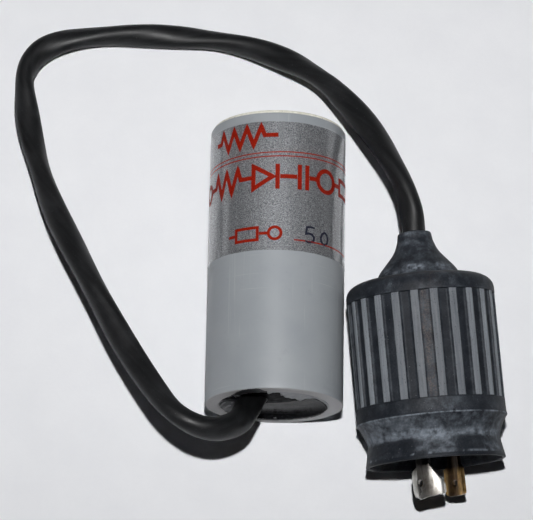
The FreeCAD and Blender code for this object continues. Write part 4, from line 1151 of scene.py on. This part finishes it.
put(0.0, 0.0)
radii = [R_BORE * (i / NRAD) ** 0.80 for i in range(1, NRAD + 1)]
for r in radii:
    for k in range(NA):
        a = 2 * math.pi * k / NA
        put(r * math.cos(a), r * math.sin(a))
for r in (R_BORE, R_BORE * 0.5):
    for k in range(NA):
        a = 2 * math.pi * k / NA
        verts.append((r * math.cos(a), MOUTH_Y + 7.5, AXIS_Z + r * math.sin(a)))
        pale.append(0.0)
        matte_and_painted_shade.append(0.0)
verts.append((0.0, MOUTH_Y + 7.5, AXIS_Z))
pale.append(0.0)
matte_and_painted_shade.append(0.0)
for k in range(NA):
    faces.append((0, 1 + k, 1 + (k + 1) % NA))
for i in range(NRAD + 1):
    for k in range(NA):
        k2 = (k + 1) % NA
        a, b = 1 + i * NA, 1 + (i + 1) * NA
        faces.append((a + k, b + k, b + k2, a + k2))
end = len(verts) - 1
base = 1 + (NRAD + 1) * NA
for k in range(NA):
    faces.append((end, base + (k + 1) % NA, base + k))
fill = mesh_object("filling", verts, faces, FILL)
attribute(fill, "pale", pale)
attribute(fill, "matte_and_painted_shade", matte_and_painted_shade)
outward(fill)
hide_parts("potting_compound")


# ------------------------------------------------------------------ dried resin and cement on the rim
def crumb(name, outline, thick, mat, seed, grid=0.32, y_face=MOUTH_Y):
    """a thin lumpy patch on the rim face; outline in (x, height from the axis)"""
    poly = [Vector((p[0], p[1])) for p in outline]

    def inside(x, z):
        c, n = False, len(poly)
        for i in range(n):
            a, b = poly[i], poly[(i + 1) % n]
            if (a.y > z) != (b.y > z) and x < (b.x - a.x) * (z - a.y) / (b.y - a.y) + a.x:
                c = not c
        return c

    def gap(x, z):
        best, n = 1e9, len(poly)
        q = Vector((x, z))
        for i in range(n):
            a, b = poly[i], poly[(i + 1) % n]
            ab = b - a
            t = max(0.0, min(1.0, (q - a).dot(ab) / max(1e-9, ab.length_squared)))
            best = min(best, (q - (a + ab * t)).length)
        return best

    lo_x, hi_x = min(p.x for p in poly), max(p.x for p in poly)
    lo_z, hi_z = min(p.y for p in poly), max(p.y for p in poly)
    nx, nz_ = int((hi_x - lo_x) / grid) + 2, int((hi_z - lo_z) / grid) + 2
    ids, verts, faces = {}, [], []
    cells = []
    for i in range(nx):
        for j in range(nz_):
            cx, cz = lo_x + (i + 0.5) * grid, lo_z + (j + 0.5) * grid
            jit = 0.45 * nz(cx, cz, 0.0, 1.1, seed)
            if inside(cx + jit, cz - jit):
                cells.append((i, j))
    cellset = set(cells)

    def vert(i, j, top):
        kk = (i, j, top)
        if kk not in ids:
            x, z = lo_x + i * grid, lo_z + j * grid
            x += 0.12 * nz(x, z, 0.0, 2.3, seed + 1)
            z += 0.12 * nz(x, z, 0.0, 2.3, seed + 2)
            n_in = sum((i - di, j - dj) in cellset for di in (0, 1) for dj in (0, 1))
            h = thick * (0.35 + 0.65 * min(1.0, gap(x, z) / 0.7)) * (0.75 + 0.5 * nz(x, z, 0, 1.4, seed + 3))
            if n_in < 4:
                h = 0.03
            ids[kk] = len(verts)
            verts.append((x, y_face - h if top else y_face + 0.05, AXIS_Z + z))
        return ids[kk]

    for i, j in cells:
        faces.append((vert(i, j, 1), vert(i + 1, j, 1), vert(i + 1, j + 1, 1), vert(i, j + 1, 1)))
        faces.append((vert(i, j, 0), vert(i, j + 1, 0), vert(i + 1, j + 1, 0), vert(i + 1, j, 0)))
        for (di, dj), ((a, b), (c, d)) in {(-1, 0): ((0, 0), (0, 1)), (1, 0): ((1, 0), (1, 1)),
                                          (0, -1): ((0, 0), (1, 0)), (0, 1): ((0, 1), (1, 1))}.items():
            if (i + di, j + dj) not in cellset:
                faces.append((vert(i + a, j + b, 1), vert(i + c, j + d, 1), vert(i + c, j + d, 0), vert(i + a, j + b, 0)))
    ob = mesh_object(name, verts, faces, mat)
    outward(ob)
    return ob


crumb("resin_crumb", [(-16.4, 9.9), (-15.9, 11.5), (-15.0, 13.6), (-13.6, 17.0), (-12.0, 19.9), (-10.4, 21.5), (-8.8, 22.4), (-7.2, 22.8),
                      (-6.0, 22.7), (-5.2, 21.9), (-4.5, 20.9), (-3.5, 20.2), (-2.8, 19.5), (-3.4, 18.7), (-8.0, 17.2), (-12.0, 14.7),
                      (-14.6, 12.1), (-16.2, 9.8)], 0.14, CRUMB, 3.0, grid=0.26)
arc_r = [(19.06 + 1.25 * bump_at(g, -100.0, 62.0) + 0.95 * bump_at(g, -47.0, 34.0), math.radians(g)) for g in range(-152, -17, 6)]
arc_o = [(q * math.cos(g), q * math.sin(g)) for q, g in arc_r]
arc_i = [(18.72 * math.cos(math.radians(g)), 18.72 * math.sin(math.radians(g))) for g in range(-22, -154, -6)]
crumb("resin_edge", arc_o + arc_i, 0.06, CRUMB, 8.0, grid=0.26)

# two small glossy beads of it
BEAD = Mat("resin_bead")
m = BEAD
g = m.noise(1500.0, 3.0, 0.6)
m.set(Base_Color=m.mix(g, (0.010, 0.010, 0.011), (0.030, 0.029, 0.031)), Roughness=m.span(g, 0.3, 0.7, 0.12, 0.22))
m.b.inputs["Specular IOR Level"].default_value = 0.9
for k, (x, z, deep, size) in enumerate(((-13.2, 12.9, -0.10, 1.00), (1.1, -17.6, 0.25, 0.50))):
    verts, faces = [], []
    NU, NV = 20, 10
    for j in range(NV + 1):
        for i in range(NU):
            a, b = 2 * math.pi * i / NU, math.pi * j / NV
            rr = size * math.sin(b) * (1.0 + 0.12 * nz(math.cos(a), math.sin(a), b, 1.3, 2.0 + k))
            verts.append((x + rr * math.cos(a) * 1.25, MOUTH_Y + deep - 0.55 * size * math.cos(b) + 0.1, AXIS_Z + z + 0.8 * rr * math.sin(a)))
    for j in range(NV):
        for i in range(NU):
            i2 = (i + 1) % NU
            faces.append((j * NU + i, j * NU + i2, (j + 1) * NU + i2, (j + 1) * NU + i))
    bead = mesh_object("resin_bead_%d" % (k + 1), verts, faces, BEAD.m)
    bm = bmesh.new()
    bm.from_mesh(bead.data)
    bmesh.ops.remove_doubles(bm, verts=bm.verts[:], dist=1e-6)
    bm.to_mesh(bead.data)
    bm.free()
    outward(bead)

bpy.context.view_layer.update()
